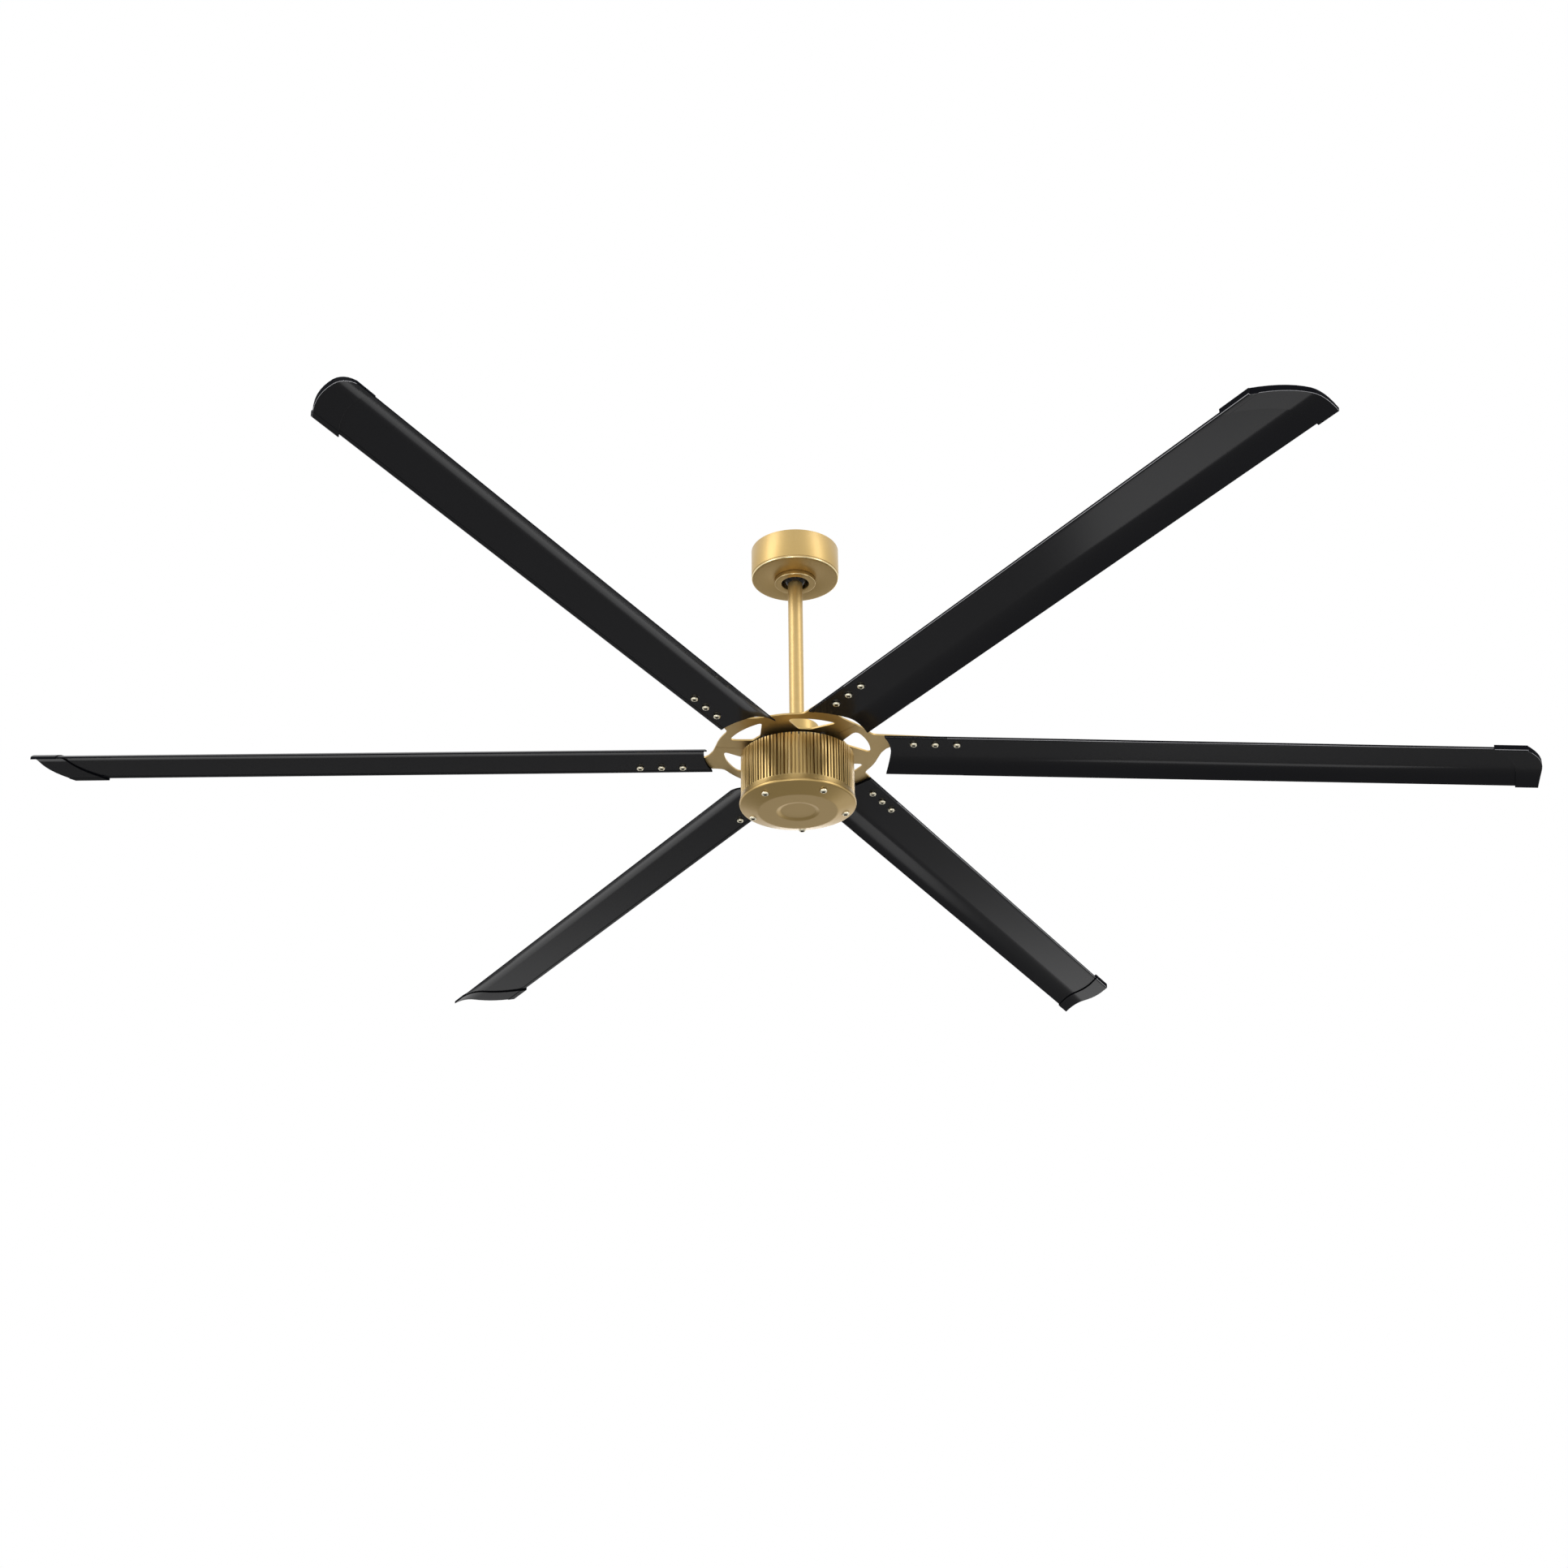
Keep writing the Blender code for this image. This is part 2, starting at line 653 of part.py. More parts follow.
def make_winding(surface, carrier):
    """End turns above and below the core, joined by the bundles that pass through its slots."""
    outer = tooth_neck_radius
    upper_foot, upper_top = stator_top_z + seat_gap, stator_top_z + seat_gap + winding_height
    lower_top, lower_foot = stator_foot_z - seat_gap, stator_foot_z - seat_gap - winding_height
    rings = []
    for top, foot in ((upper_top, upper_foot), (lower_top, lower_foot)):
        profile = [(outer, top), (outer, foot), (winding_inner_radius, foot), (winding_inner_radius, top)]
        rings.append(turned(profile, coarse_sides))
    winding = add_part("stator_winding", rings[0], surface, carrier)
    add_boolean(winding, "lower_end_turns", rings[1], "UNION")
    half_pitch = math.pi / tooth_count
    clear = (tooth_half_width + seat_gap) / math.cos(half_pitch)
    inner_x, outer_x = winding_inner_radius + seat_gap, outer - winding_tip_gap
    inner_y, outer_y = inner_x * math.tan(half_pitch) - clear, outer_x * math.tan(half_pitch) - clear
    bundle = [(inner_x, -inner_y), (outer_x, -outer_y), (outer_x, outer_y), (inner_x, inner_y)]
    low, high = (lower_top + lower_foot) / 2, (upper_top + upper_foot) / 2
    bundles = bmesh.new()
    for number in range(tooth_count):
        turn = half_pitch * (2 * number + 1)
        add_prism(bundles, [swung(point, turn) for point in bundle], low, high)
    add_boolean(winding, "slot_bundles", bundles, "UNION")


# Pieces of the motor that turn

def bolt_places():
    return [polar(bolt_circle, bolt_angle + 360.0 * number / bolt_count) for number in range(bolt_count)]


def make_top_cover(surface, carrier):
    """Upper shell of the motor: bearing seat below, collar and bosses above."""
    profile = [(top_cover_hole_radius, boss_top_z), (collar_radius, boss_top_z),
               (collar_radius, top_cover_z), (top_cover_radius, top_cover_z),
               (top_cover_radius, top_cover_foot_z), (bearing_seat_radius, top_cover_foot_z),
               (bearing_seat_radius, upper_race_foot_z), (bearing_pocket_radius, upper_race_foot_z),
               (bearing_pocket_radius, top_cover_foot_z), (top_cover_hole_radius, top_cover_foot_z)]
    cover = add_part("motor_top_cover", turned(profile, middle_sides), surface, carrier)
    bosses, holes = bmesh.new(), bmesh.new()
    middle_z = (top_cover_z + top_cover_foot_z) / 2
    low, high = top_cover_foot_z - cut_overrun, boss_top_z + cut_overrun
    for place in bolt_places():
        add_prism(bosses, circle(place, bolt_hole_radius + boss_wall, hole_sides), middle_z, boss_top_z)
        add_prism(holes, circle(place, bolt_hole_radius, hole_sides), low, high)
    add_boolean(cover, "cover_bosses", bosses, "UNION")
    add_boolean(cover, "cover_hole_cutter", holes, "DIFFERENCE")


def make_drum(surface, carrier):
    """Ribbed drum: each rib has a narrow groove along its middle."""
    groove = drum_rib_radius - drum_groove_depth
    radii = (drum_wall_radius, drum_rib_radius, drum_rib_radius, groove, groove, drum_rib_radius,
             drum_rib_radius, drum_wall_radius)
    pitch = 360.0 / drum_rib_count
    outline = []
    for number in range(drum_rib_count):
        outline += [polar(r, pitch * (number + share)) for r, share in zip(radii, drum_rib_shares)]
    holes = [circle(place, bolt_hole_radius, hole_sides) for place in bolt_places()]
    holes.append(circle((0, 0), drum_bore_radius, middle_sides))
    add_part("motor_drum", slab(outline, holes, drum_foot_z, drum_top_z), surface, carrier)


def make_magnet_ring(surface, carrier):
    middle_z = (stator_top_z + stator_foot_z) / 2
    top_z, foot_z = middle_z + magnet_height / 2, middle_z - magnet_height / 2
    profile = [(magnet_radius, top_z), (magnet_radius, foot_z), (magnet_bore_radius, foot_z),
               (magnet_bore_radius, top_z)]
    add_part("magnet_ring", turned(profile, middle_sides), surface, carrier)


def bolt_seat_z():
    """Height of the flat seats that are cut into the bottom cap's sloping ring."""
    outer = bolt_circle + bolt_head_radius
    share = (cap_cone_radius - outer) / (cap_cone_radius - cap_disc_radius)
    return cap_cone_z - cap_cone_height * share + seat_gap


def make_bottom_cap(surface, carrier):
    """Lower shell of the motor: hollow flare, sloping ring, flat disc with a shallow dish."""
    shelf_radius = bearing_pocket_radius - bearing_lip
    profile = curve((cap_neck_radius, cap_top_z), (cap_neck_radius, cap_band_z), (cap_radius, cap_band_z),
                    arc_steps)
    profile += [(cap_radius, cap_edge_z), (cap_cone_radius, cap_cone_z), (cap_disc_radius, cap_foot_z),
                (dish_radius, cap_foot_z), (dish_radius - dish_slope_width, cap_foot_z + dish_depth),
                (0, cap_foot_z + dish_depth), (0, cap_floor_z), (shelf_radius, cap_floor_z),
                (shelf_radius, lower_shelf_z), (bearing_pocket_radius, lower_shelf_z),
                (bearing_pocket_radius, lower_race_top_z), (bearing_seat_radius, lower_race_top_z),
                (bearing_seat_radius, cap_floor_z), (cap_disc_radius - cap_shell, cap_floor_z),
                (drum_bore_radius, cap_band_z), (drum_bore_radius, cap_top_z)]
    cap = add_part("bottom_cap", turned(profile, fine_sides), surface, carrier)
    holes, pockets = bmesh.new(), bmesh.new()
    seat = bolt_seat_z()
    for place in bolt_places():
        hole = circle(place, bolt_hole_radius, hole_sides)
        add_prism(holes, hole, cap_foot_z - cut_overrun, cap_top_z + cut_overrun)
        pocket = circle(place, bolt_head_radius + bolt_clearance, coarse_sides)
        add_prism(pockets, pocket, cap_foot_z - cut_overrun, seat)
    add_boolean(cap, "cap_hole_cutter", holes, "DIFFERENCE")
    add_boolean(cap, "cap_pocket_cutter", pockets, "DIFFERENCE")


def make_bolts(surface, carrier):
    """Long bolts that clamp cap, drum and top cover to the hub plate, where they are screwed in."""
    for number, (x, y) in enumerate(bolt_places(), start=1):
        shape = domed_screw(bolt_head_radius, bolt_head_height, bolt_radius, bolt_seat_z() - seat_gap,
                            plate_top_z + bolt_end)
        add_part(f"motor_bolt_{number}", moved(shape, Matrix.Translation((x, y, 0))), surface, carrier)


# Hub plate

def droop_at(x):
    """How far an arm or a blade has dropped at a distance from the fan's axis."""
    return blade_droop_share * max(0, x - plate_rim_radius)


def rim_tangent(y, degrees):
    """Where the rim's tangent at an angle meets the line at y along the arm."""
    angle = math.radians(degrees)
    return ((plate_rim_radius - y * math.sin(angle)) / math.cos(angle), y)


def sector_outline():
    """One arm and the rim behind it, from the fillet in front of the arm to the next arm's."""
    front, back, end, cut = -arm_front, -arm_back, arm_end_radius, arm_end_chamfer
    points = curve(polar(plate_rim_radius, -arm_fillet_angle), rim_tangent(front, -arm_fillet_angle),
                   (arm_fillet_end_radius, front), arc_steps)
    points += [(end - cut, front + arm_taper), (end, front + arm_taper + cut), (end, back - cut),
               (end - cut, back)]
    points += curve((arm_neck_radius, back), rim_tangent(back, rim_join_angle),
                    polar(plate_rim_radius, rim_join_angle), curve_steps)
    next_fillet = math.degrees(sector_angle) - arm_fillet_angle
    points += arc((0, 0), plate_rim_radius, rim_join_angle, next_fillet, curve_steps)[1:-1]
    return points


def window_outline():
    """Teardrop window between two arms, with each corner rounded over its reach."""
    outer, inner = window_outer_radius, window_inner_radius
    start, end = polar(outer, window_start_angle), polar(outer, window_end_angle)
    foot_start, foot_end = polar(inner, window_foot_start_angle), polar(inner, window_foot_end_angle)
    rim_side = arc((0, 0), outer, window_start_angle + math.degrees(window_start_reach / outer),
                   window_end_angle - math.degrees(window_end_reach / outer), window_steps)
    foot_trim = math.degrees(window_foot_reach / inner)
    hub_side = arc((0, 0), inner, window_foot_end_angle - foot_trim, window_foot_start_angle + foot_trim, 2)
    ring = curve(toward(start, foot_start, window_start_reach), start, rim_side[0], curve_steps)
    ring += rim_side[1:-1]
    ring += curve(rim_side[-1], end, toward(end, foot_end, window_end_reach), curve_steps)
    ring += curve(toward(foot_end, end, window_foot_reach), foot_end, hub_side[0], 2) + hub_side[1:-1]
    ring += curve(hub_side[-1], foot_start, toward(foot_start, start, window_foot_reach), 2)
    return ring


def screw_places():
    """The screws of blade 1."""
    return [(first_screw_radius + screw_pitch * step, -screw_line) for step in range(screws_per_blade)]


def make_hub_plate(surface, carrier):
    """Sheet with six arms, bent down a little where each arm leaves the rim."""
    outline, holes, directions = [], [], []
    for number in range(blade_count):
        turn = sector_angle * number
        directions.append(Vector((math.cos(turn), math.sin(turn), 0)))
        outline += [swung(point, turn) for point in sector_outline()]
        holes.append([swung(point, turn) for point in window_outline()])
        holes += [circle(swung(place, turn), screw_hole_radius, hole_sides) for place in screw_places()]
    holes += [circle(place, bolt_hole_radius, hole_sides) for place in bolt_places()]
    holes.append(circle((0, 0), plate_centre_hole_radius, coarse_sides))
    shape = slab(outline, holes, plate_foot_z, plate_top_z)
    for direction in directions:
        arm = [face for face in shape.faces
               if max(directions, key=face.calc_center_median().dot) == direction]
        near = list(dict.fromkeys(item for face in arm for item in (*face.verts, *face.edges)))
        bmesh.ops.bisect_plane(shape, geom=arm + near, plane_co=direction * plate_rim_radius,
                               plane_no=direction)
    for vert in shape.verts:
        vert.co.z -= droop_at(max(vert.co.dot(direction) for direction in directions))
    add_part("hub_plate", shape, surface, carrier)


# Blades and end caps

def blade_section(front_growth, back_growth):
    """Section across a blade, as (y, underside, top) from nose to tail, grown by a skin."""
    stations = []
    half = (blade_thickness + blade_bead_depth) / 2
    middle_z = blade_top_z - half
    turn = math.radians(blade_nose_start_angle)
    for step in range(arc_steps + 1):
        angle = turn + (math.pi / 2 - turn) * step / arc_steps
        y = blade_nose_rounding * (math.cos(turn) - math.cos(angle)) - blade_nose - front_growth
        stations.append((y, middle_z - half * math.sin(angle), middle_z + half * math.sin(angle)))
    bead_back = blade_bead_width - blade_nose
    stations.append((bead_back, blade_foot_z - blade_bead_depth, blade_top_z))
    flat_front = bead_back + blade_bead_depth
    for step in range(blade_steps + 1):
        stations.append((flat_front * (1 - step / blade_steps), blade_foot_z, blade_top_z))
    for step in range(1, blade_steps + 1):
        y = blade_tail * step / blade_steps
        if step == blade_steps:
            y += back_growth
        share = y / blade_tail
        underside = blade_foot_z - blade_tail_drop * share ** 2
        thickness = blade_thickness + (blade_tail_thickness - blade_thickness) * share
        stations.append((y, underside, underside + thickness))
    grown = []
    for y, underside, top in stations:
        share = (y + blade_nose) / (blade_nose + blade_tail)
        growth = front_growth + (back_growth - front_growth) * share
        grown.append((y, underside - growth, top + growth))
    return grown


def section_ring(shape, section, x_at):
    """Corners of a section, along its top from nose to tail and back below."""
    ends = [(x_at(y), y) for y, underside, top in section]
    tops = [shape.verts.new((x, y, top - droop_at(x))) for (x, y), (_, _, top) in zip(ends, section)]
    feet = [shape.verts.new((x, y, low - droop_at(x))) for (x, y), (_, low, _) in zip(ends, section)]
    return tops + list(reversed(feet))


def bridge(shape, first, second):
    """Faces between two rings with as many corners each."""
    for corners in zip(first, first[1:] + first[:1], second[1:] + second[:1], second):
        shape.faces.new(corners)


def close_ring(shape, ring):
    """End faces of a section, from its nose to its tail."""
    half = len(ring) // 2
    tops, feet = ring[:half], list(reversed(ring[half:]))
    for corners in zip(tops, tops[1:], feet[1:], feet):
        shape.faces.new(corners)


def root_x(y):
    return math.sqrt(blade_root_radius ** 2 - y ** 2)


def tip_x(y):
    """The raked and rounded end of a blade's cap."""
    share = min(1, max(0, (y + blade_nose) / (blade_nose + blade_tail)))
    return tip_radius - cap_rake * (1 - share) ** cap_rake_power


def cap_mouth_x(y):
    share = (y + blade_nose) / (blade_nose + blade_tail)
    return tip_x(y) - cap_front_cover - (cap_back_cover - cap_front_cover) * share


def pocket_x(y):
    return tip_x(y) - cap_end_wall


def blade_end_x(y):
    return pocket_x(y) - seat_gap


def make_blade(number, turn, surface, carrier):
    shape = bmesh.new()
    section = blade_section(0, 0)
    root = section_ring(shape, section, root_x)
    end = section_ring(shape, section, blade_end_x)
    bridge(shape, root, end)
    close_ring(shape, root)
    close_ring(shape, end)
    blade = add_part(f"blade_{number}", moved(shape, turn), surface, carrier)
    holes = bmesh.new()
    low = blade_foot_z - droop_at(arm_end_radius) - cut_overrun
    for place in screw_places():
        add_prism(holes, circle(place, screw_hole_radius, hole_sides), low, plate_top_z)
    add_boolean(blade, f"blade_{number}_hole_cutter", moved(holes, turn), "DIFFERENCE")


def make_blade_cap(number, turn, surface, carrier):
    """Sock with a solid raked end that slips over the blade's tip."""
    shape = bmesh.new()
    outside = blade_section(cap_front_wall + seat_gap, cap_back_wall + seat_gap)
    inside = blade_section(seat_gap, seat_gap)
    mouth = section_ring(shape, outside, cap_mouth_x)
    end = section_ring(shape, outside, tip_x)
    inner_mouth = section_ring(shape, inside, cap_mouth_x)
    pocket = section_ring(shape, inside, pocket_x)
    bridge(shape, mouth, end)
    bridge(shape, mouth, inner_mouth)
    bridge(shape, inner_mouth, pocket)
    close_ring(shape, end)
    close_ring(shape, pocket)
    add_part(f"blade_cap_{number}", moved(shape, turn), surface, carrier)


def make_blade_screws(number, turn, surface, carrier):
    for count, (x, y) in enumerate(screw_places(), start=1):
        drop = droop_at(x)
        shape = domed_screw(screw_head_radius, screw_head_height, screw_radius,
                            blade_foot_z - seat_gap - drop, plate_top_z + screw_end - drop)
        moved(shape, turn @ Matrix.Translation((x, y, 0)))
        add_part(f"blade_screw_{number}_{count}", shape, surface, carrier)


# The fan

def clear_scene():
    for item in list(bpy.data.objects):
        bpy.data.objects.remove(item, do_unlink=True)


def make_fan():
    finishes = make_finishes()
    gold, steel = finishes["gold"], finishes["steel"]
    ceiling = add_carrier("ceiling_frame", 0, None)
    swing = add_carrier("swing_axis", ball_z, ceiling)
    spin = add_carrier("spin_axis", plate_foot_z, swing)

    make_bracket(finishes["bracket"], ceiling)
    make_canopy(gold, ceiling)
    make_canopy_ring(gold, ceiling)
    make_canopy_screws(steel, ceiling)
    make_driver(finishes["driver"], ceiling)

    make_ball(finishes["ball"], swing)
    make_pins(steel, swing)
    make_downrod(gold, swing)
    make_coupler(finishes["bracket"], swing)
    make_coupling_cover(gold, swing)
    make_shaft(steel, swing)
    make_nut(steel, swing)
    make_stator_core(finishes["core"], swing)
    make_winding(finishes["copper"], swing)

    inner_bore, outer_bore = shaft_radius + seat_gap, inner_race_radius + seat_gap
    for place, foot_z in (("upper", upper_race_foot_z), ("lower", lower_race_foot_z)):
        make_race(f"{place}_bearing_inner", inner_bore, inner_race_radius, foot_z, steel, swing)
        make_race(f"{place}_bearing_outer", outer_bore, bearing_radius, foot_z, steel, spin)

    make_top_cover(finishes["bracket"], spin)
    make_drum(gold, spin)
    make_magnet_ring(finishes["magnet"], spin)
    make_bottom_cap(gold, spin)
    make_bolts(finishes["bright gold"], spin)
    make_hub_plate(gold, spin)
    for number in range(1, blade_count + 1):
        turn = Matrix.Rotation(sector_angle * (number - 1), 4, "Z")
        make_blade(number, turn, finishes["blade"], spin)
        make_blade_cap(number, turn, finishes["end cap"], spin)
        make_blade_screws(number, turn, finishes["bright gold"], spin)


clear_scene()
make_fan()
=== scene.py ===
# %% [markdown]
# # A ceiling fan, dressed for its portrait
#
# The fan's frame is already modelled and packed: sixty solids, each at its real place in metres.
# This lesson loads that frame and gives every piece that shows its fine form and its finish:
# champagne gold on the metal, satin black on the blades. The frame is never moved. A piece that
# needs softer edges or rounder sides is modelled again in the same place.

# %% The frame
import json
import math

import bpy
from mathutils import Euler, Matrix, Vector

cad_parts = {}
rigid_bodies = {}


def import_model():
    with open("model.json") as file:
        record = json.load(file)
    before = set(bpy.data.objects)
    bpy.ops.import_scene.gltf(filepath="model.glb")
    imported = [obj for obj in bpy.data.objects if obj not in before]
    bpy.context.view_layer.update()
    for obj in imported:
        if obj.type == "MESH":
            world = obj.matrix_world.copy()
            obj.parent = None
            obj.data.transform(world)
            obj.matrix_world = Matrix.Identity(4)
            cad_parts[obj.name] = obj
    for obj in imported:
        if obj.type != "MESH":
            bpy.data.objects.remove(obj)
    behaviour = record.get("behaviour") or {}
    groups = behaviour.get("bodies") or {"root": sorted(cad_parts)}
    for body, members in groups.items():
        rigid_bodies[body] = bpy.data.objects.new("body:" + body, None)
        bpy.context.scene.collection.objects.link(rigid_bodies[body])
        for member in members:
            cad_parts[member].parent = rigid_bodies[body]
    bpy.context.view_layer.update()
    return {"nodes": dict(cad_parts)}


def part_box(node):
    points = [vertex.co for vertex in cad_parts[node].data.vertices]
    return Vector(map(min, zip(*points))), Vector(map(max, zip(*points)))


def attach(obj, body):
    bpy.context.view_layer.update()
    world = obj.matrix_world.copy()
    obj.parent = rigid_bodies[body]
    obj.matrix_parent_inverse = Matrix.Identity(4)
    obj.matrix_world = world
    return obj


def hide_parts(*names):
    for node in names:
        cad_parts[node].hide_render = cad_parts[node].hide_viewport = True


for leftover in list(bpy.data.objects):
    bpy.data.objects.remove(leftover, do_unlink=True)
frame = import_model()
nodes = frame["nodes"]

# %% [markdown]
# ## The camera
#
# The photograph looks up at the fan from below and in front. The same view needs the place of the
# camera, where it points, a small roll, and the focal length. The three turns are multiplied in
# the order in which a photographer makes them: face the fan, tilt up, then roll.

# %% Camera
camera_place = (-0.1440, -3.7845, -2.2962)
camera_heading = math.radians(-1.832)
camera_tilt = math.radians(90 + 25.95)
camera_roll = math.radians(-0.573)
focal_length = 57.6
farthest_seen = 60

turns = [Matrix.Rotation(camera_heading, 3, "Z"), Matrix.Rotation(camera_tilt, 3, "X"),
         Matrix.Rotation(camera_roll, 3, "Z")]
camera_turn = (turns[0] @ turns[1] @ turns[2]).to_euler()
bpy.ops.object.camera_add(location=camera_place, rotation=camera_turn)
camera = bpy.context.object
camera.data.lens = focal_length
camera.data.clip_end = farthest_seen
bpy.context.scene.camera = camera
print("camera at", tuple(round(v, 3) for v in camera.location))

# %% [markdown]
# ## Floor, surroundings and lamps
#
# The fan hangs from a ceiling three metres above a pale floor. Most of the floor lies behind the
# fan, so that what faces the camera mirrors the white room and what faces down mirrors the floor.
# The surroundings are plain white to the camera and in reflections, and give a softer light to
# matt surfaces.
# Two tall soft lamps stand in front, one on each side, and draw the two light bands down the round
# metal and along the flare. Their size matters more than their power, because metal mirrors their
# shape. A third lights the fan from behind, and a small one near the floor gives the domed screw
# heads their glint. Two faint ones low behind the fan are mirrored in the undersides of the blades
# on the right, whose ends are lighter in the photograph.

# %% Floor
floor_height = -3.0
floor_width, floor_length = 14.0, 9.0
floor_middle = 2.0
floor_colour = (0.38, 0.375, 0.365, 1.0)
floor_roughness = 0.9

bpy.ops.object.select_all(action="DESELECT")
bpy.ops.mesh.primitive_plane_add(size=floor_width, location=(0, floor_middle, floor_height))
floor = bpy.context.object
floor.scale.y = floor_length / floor_width
floor.name = "studio_floor"
floor_paint = bpy.data.materials.new("studio floor")
floor_paint.use_nodes = True
floor_shader = floor_paint.node_tree.nodes["Principled BSDF"]
floor_shader.inputs["Base Color"].default_value = floor_colour
floor_shader.inputs["Roughness"].default_value = floor_roughness
floor.data.materials.append(floor_paint)
print("floor at", floor_height)

# %% Surroundings
soft_light = 0.62

world = bpy.data.worlds.new("white studio")
world.use_nodes = True
bpy.context.scene.world = world
sky = world.node_tree
path = sky.nodes.new("ShaderNodeLightPath")
seen = sky.nodes.new("ShaderNodeMath")
seen.operation = "MAXIMUM"
seen_or_through = sky.nodes.new("ShaderNodeMath")
seen_or_through.operation = "MAXIMUM"
level = sky.nodes.new("ShaderNodeMapRange")
level.inputs["To Min"].default_value = soft_light
level.inputs["To Max"].default_value = 1.0
sky.links.new(path.outputs["Is Camera Ray"], seen.inputs[0])
sky.links.new(path.outputs["Is Glossy Ray"], seen.inputs[1])
sky.links.new(seen.outputs[0], seen_or_through.inputs[0])
sky.links.new(path.outputs["Is Transmission Ray"], seen_or_through.inputs[1])
sky.links.new(seen_or_through.outputs[0], level.inputs["Value"])
background = sky.nodes["Background"]
background.inputs["Color"].default_value = (1, 1, 1, 1)
sky.links.new(level.outputs["Result"], background.inputs["Strength"])
bpy.context.scene.view_settings.view_transform = "Standard"
print("soft light", soft_light)

# %% Lamps
fan_middle = Vector((0, 0, -0.30))


def add_lamp(name, azimuth, height, distance, width, tall, power):
    """A soft lamp; azimuth in degrees from the camera's side, to the right as the camera sees it."""
    angle = math.radians(azimuth)
    place = Vector((math.sin(angle) * distance, -math.cos(angle) * distance, height))
    aim = (fan_middle - place).to_track_quat("-Z", "Y").to_euler()
    bpy.ops.object.light_add(type="AREA", location=place, rotation=aim)
    lamp = bpy.context.object
    lamp.name = name
    lamp.data.shape = "RECTANGLE"
    lamp.data.size, lamp.data.size_y = width, tall
    lamp.data.energy = power
    print(name, "at", tuple(round(v, 2) for v in place))


add_lamp("left lamp", -64, 1.2, 3.6, 1.6, 5.0, 70)
add_lamp("right lamp", 58, 1.2, 3.6, 1.3, 5.0, 52)
add_lamp("back lamp", 165, 0.9, 4.0, 2.4, 1.6, 30)
add_lamp("low lamp", -14, -2.6, 4.6, 0.9, 0.7, 30)
add_lamp("far lamp", 166, -2.5, 7.6, 1.7, 1.6, 5)
add_lamp("floor lamp", 153, -2.9, 3.1, 1.1, 1.3, 5.5)

# %% [markdown]
# ## Shared effects
#
# Each finish is a little uneven in the same few ways: a spray coat has a fine grain and a slow
# change of tone, turned metal has rings round its axis, edges are lighter (partly wear, partly a
# painted highlight), dust settles on what faces up, and a coat lies thinner on narrow walls. Each
# effect is a node group with its own inputs, built once, and each material uses it with its own
# values. All read the fan's own metres, so a 1 mm grain is 1 mm.

# %% Helpers for node groups
def new_group(name, inputs, outputs):
    """A shader node group with float inputs (name: value) and outputs."""
    group = bpy.data.node_groups.new(name, "ShaderNodeTree")
    for label, value in inputs.items():
        socket = group.interface.new_socket(label, in_out="INPUT", socket_type="NodeSocketFloat")
        socket.default_value = value
    for label in outputs:
        group.interface.new_socket(label, in_out="OUTPUT", socket_type="NodeSocketFloat")
    return group, group.nodes.new("NodeGroupInput"), group.nodes.new("NodeGroupOutput")


def add_math(tree, operation, first, second=None):
    """A Math node; each input is a socket or a number."""
    node = tree.nodes.new("ShaderNodeMath")
    node.operation = operation
    for socket, value in zip(node.inputs, (first, second)):
        if value is None:
            continue
        if isinstance(value, bpy.types.NodeSocket):
            tree.links.new(value, socket)
        else:
            socket.default_value = value
    return node.outputs[0]


def add_noise(tree, place, scale, detail):
    """Noise from 0 to 1 about 0.5, at a scale per metre."""
    node = tree.nodes.new("ShaderNodeTexNoise")
    node.inputs["Detail"].default_value = detail
    tree.links.new(place, node.inputs["Vector"])
    if isinstance(scale, bpy.types.NodeSocket):
        tree.links.new(scale, node.inputs["Scale"])
    else:
        node.inputs["Scale"].default_value = scale
    return node.outputs[0]


# %% Spray coat
tone_patches, grain_in_relief = 7.0, 0.4


def make_spray_coat():
    """Slow change of tone, fine grain and the orange peel of a sprayed coat."""
    group, given, made = new_group("spray coat", {"Grain Per Metre": 1400, "Peel Per Metre": 260,
                                   "Tone Spread": 0.06, "Roughness": 0.4, "Roughness Spread": 0.1},
                                   ["Tone", "Roughness", "Height"])
    place = group.nodes.new("ShaderNodeTexCoord").outputs["Object"]
    slow = add_math(group, "SUBTRACT", add_noise(group, place, tone_patches, 2), 0.5)
    grain = add_math(group, "SUBTRACT", add_noise(group, place, given.outputs["Grain Per Metre"], 1), 0.5)
    peel = add_noise(group, place, given.outputs["Peel Per Metre"], 2)
    spread = add_math(group, "MULTIPLY", given.outputs["Tone Spread"], add_math(group, "ADD", slow, grain))
    tone = add_math(group, "ADD", spread, 1.0)
    uneven = add_math(group, "MULTIPLY", slow, given.outputs["Roughness Spread"])
    rough = add_math(group, "ADD", given.outputs["Roughness"], uneven)
    height = add_math(group, "ADD", add_math(group, "MULTIPLY", grain, grain_in_relief), peel)
    for label, value in (("Tone", tone), ("Roughness", rough), ("Height", height)):
        group.links.new(value, made.inputs[label])
    return group


spray_coat = make_spray_coat()
print("group", spray_coat.name)


# %% Turned rings, edges, dust and thin coats
wear_and_highlight_fade = 0.1
dust_patches, dust_steepness = 45.0, 3.0
wall_lean, flat_lean = 0.45, 0.80


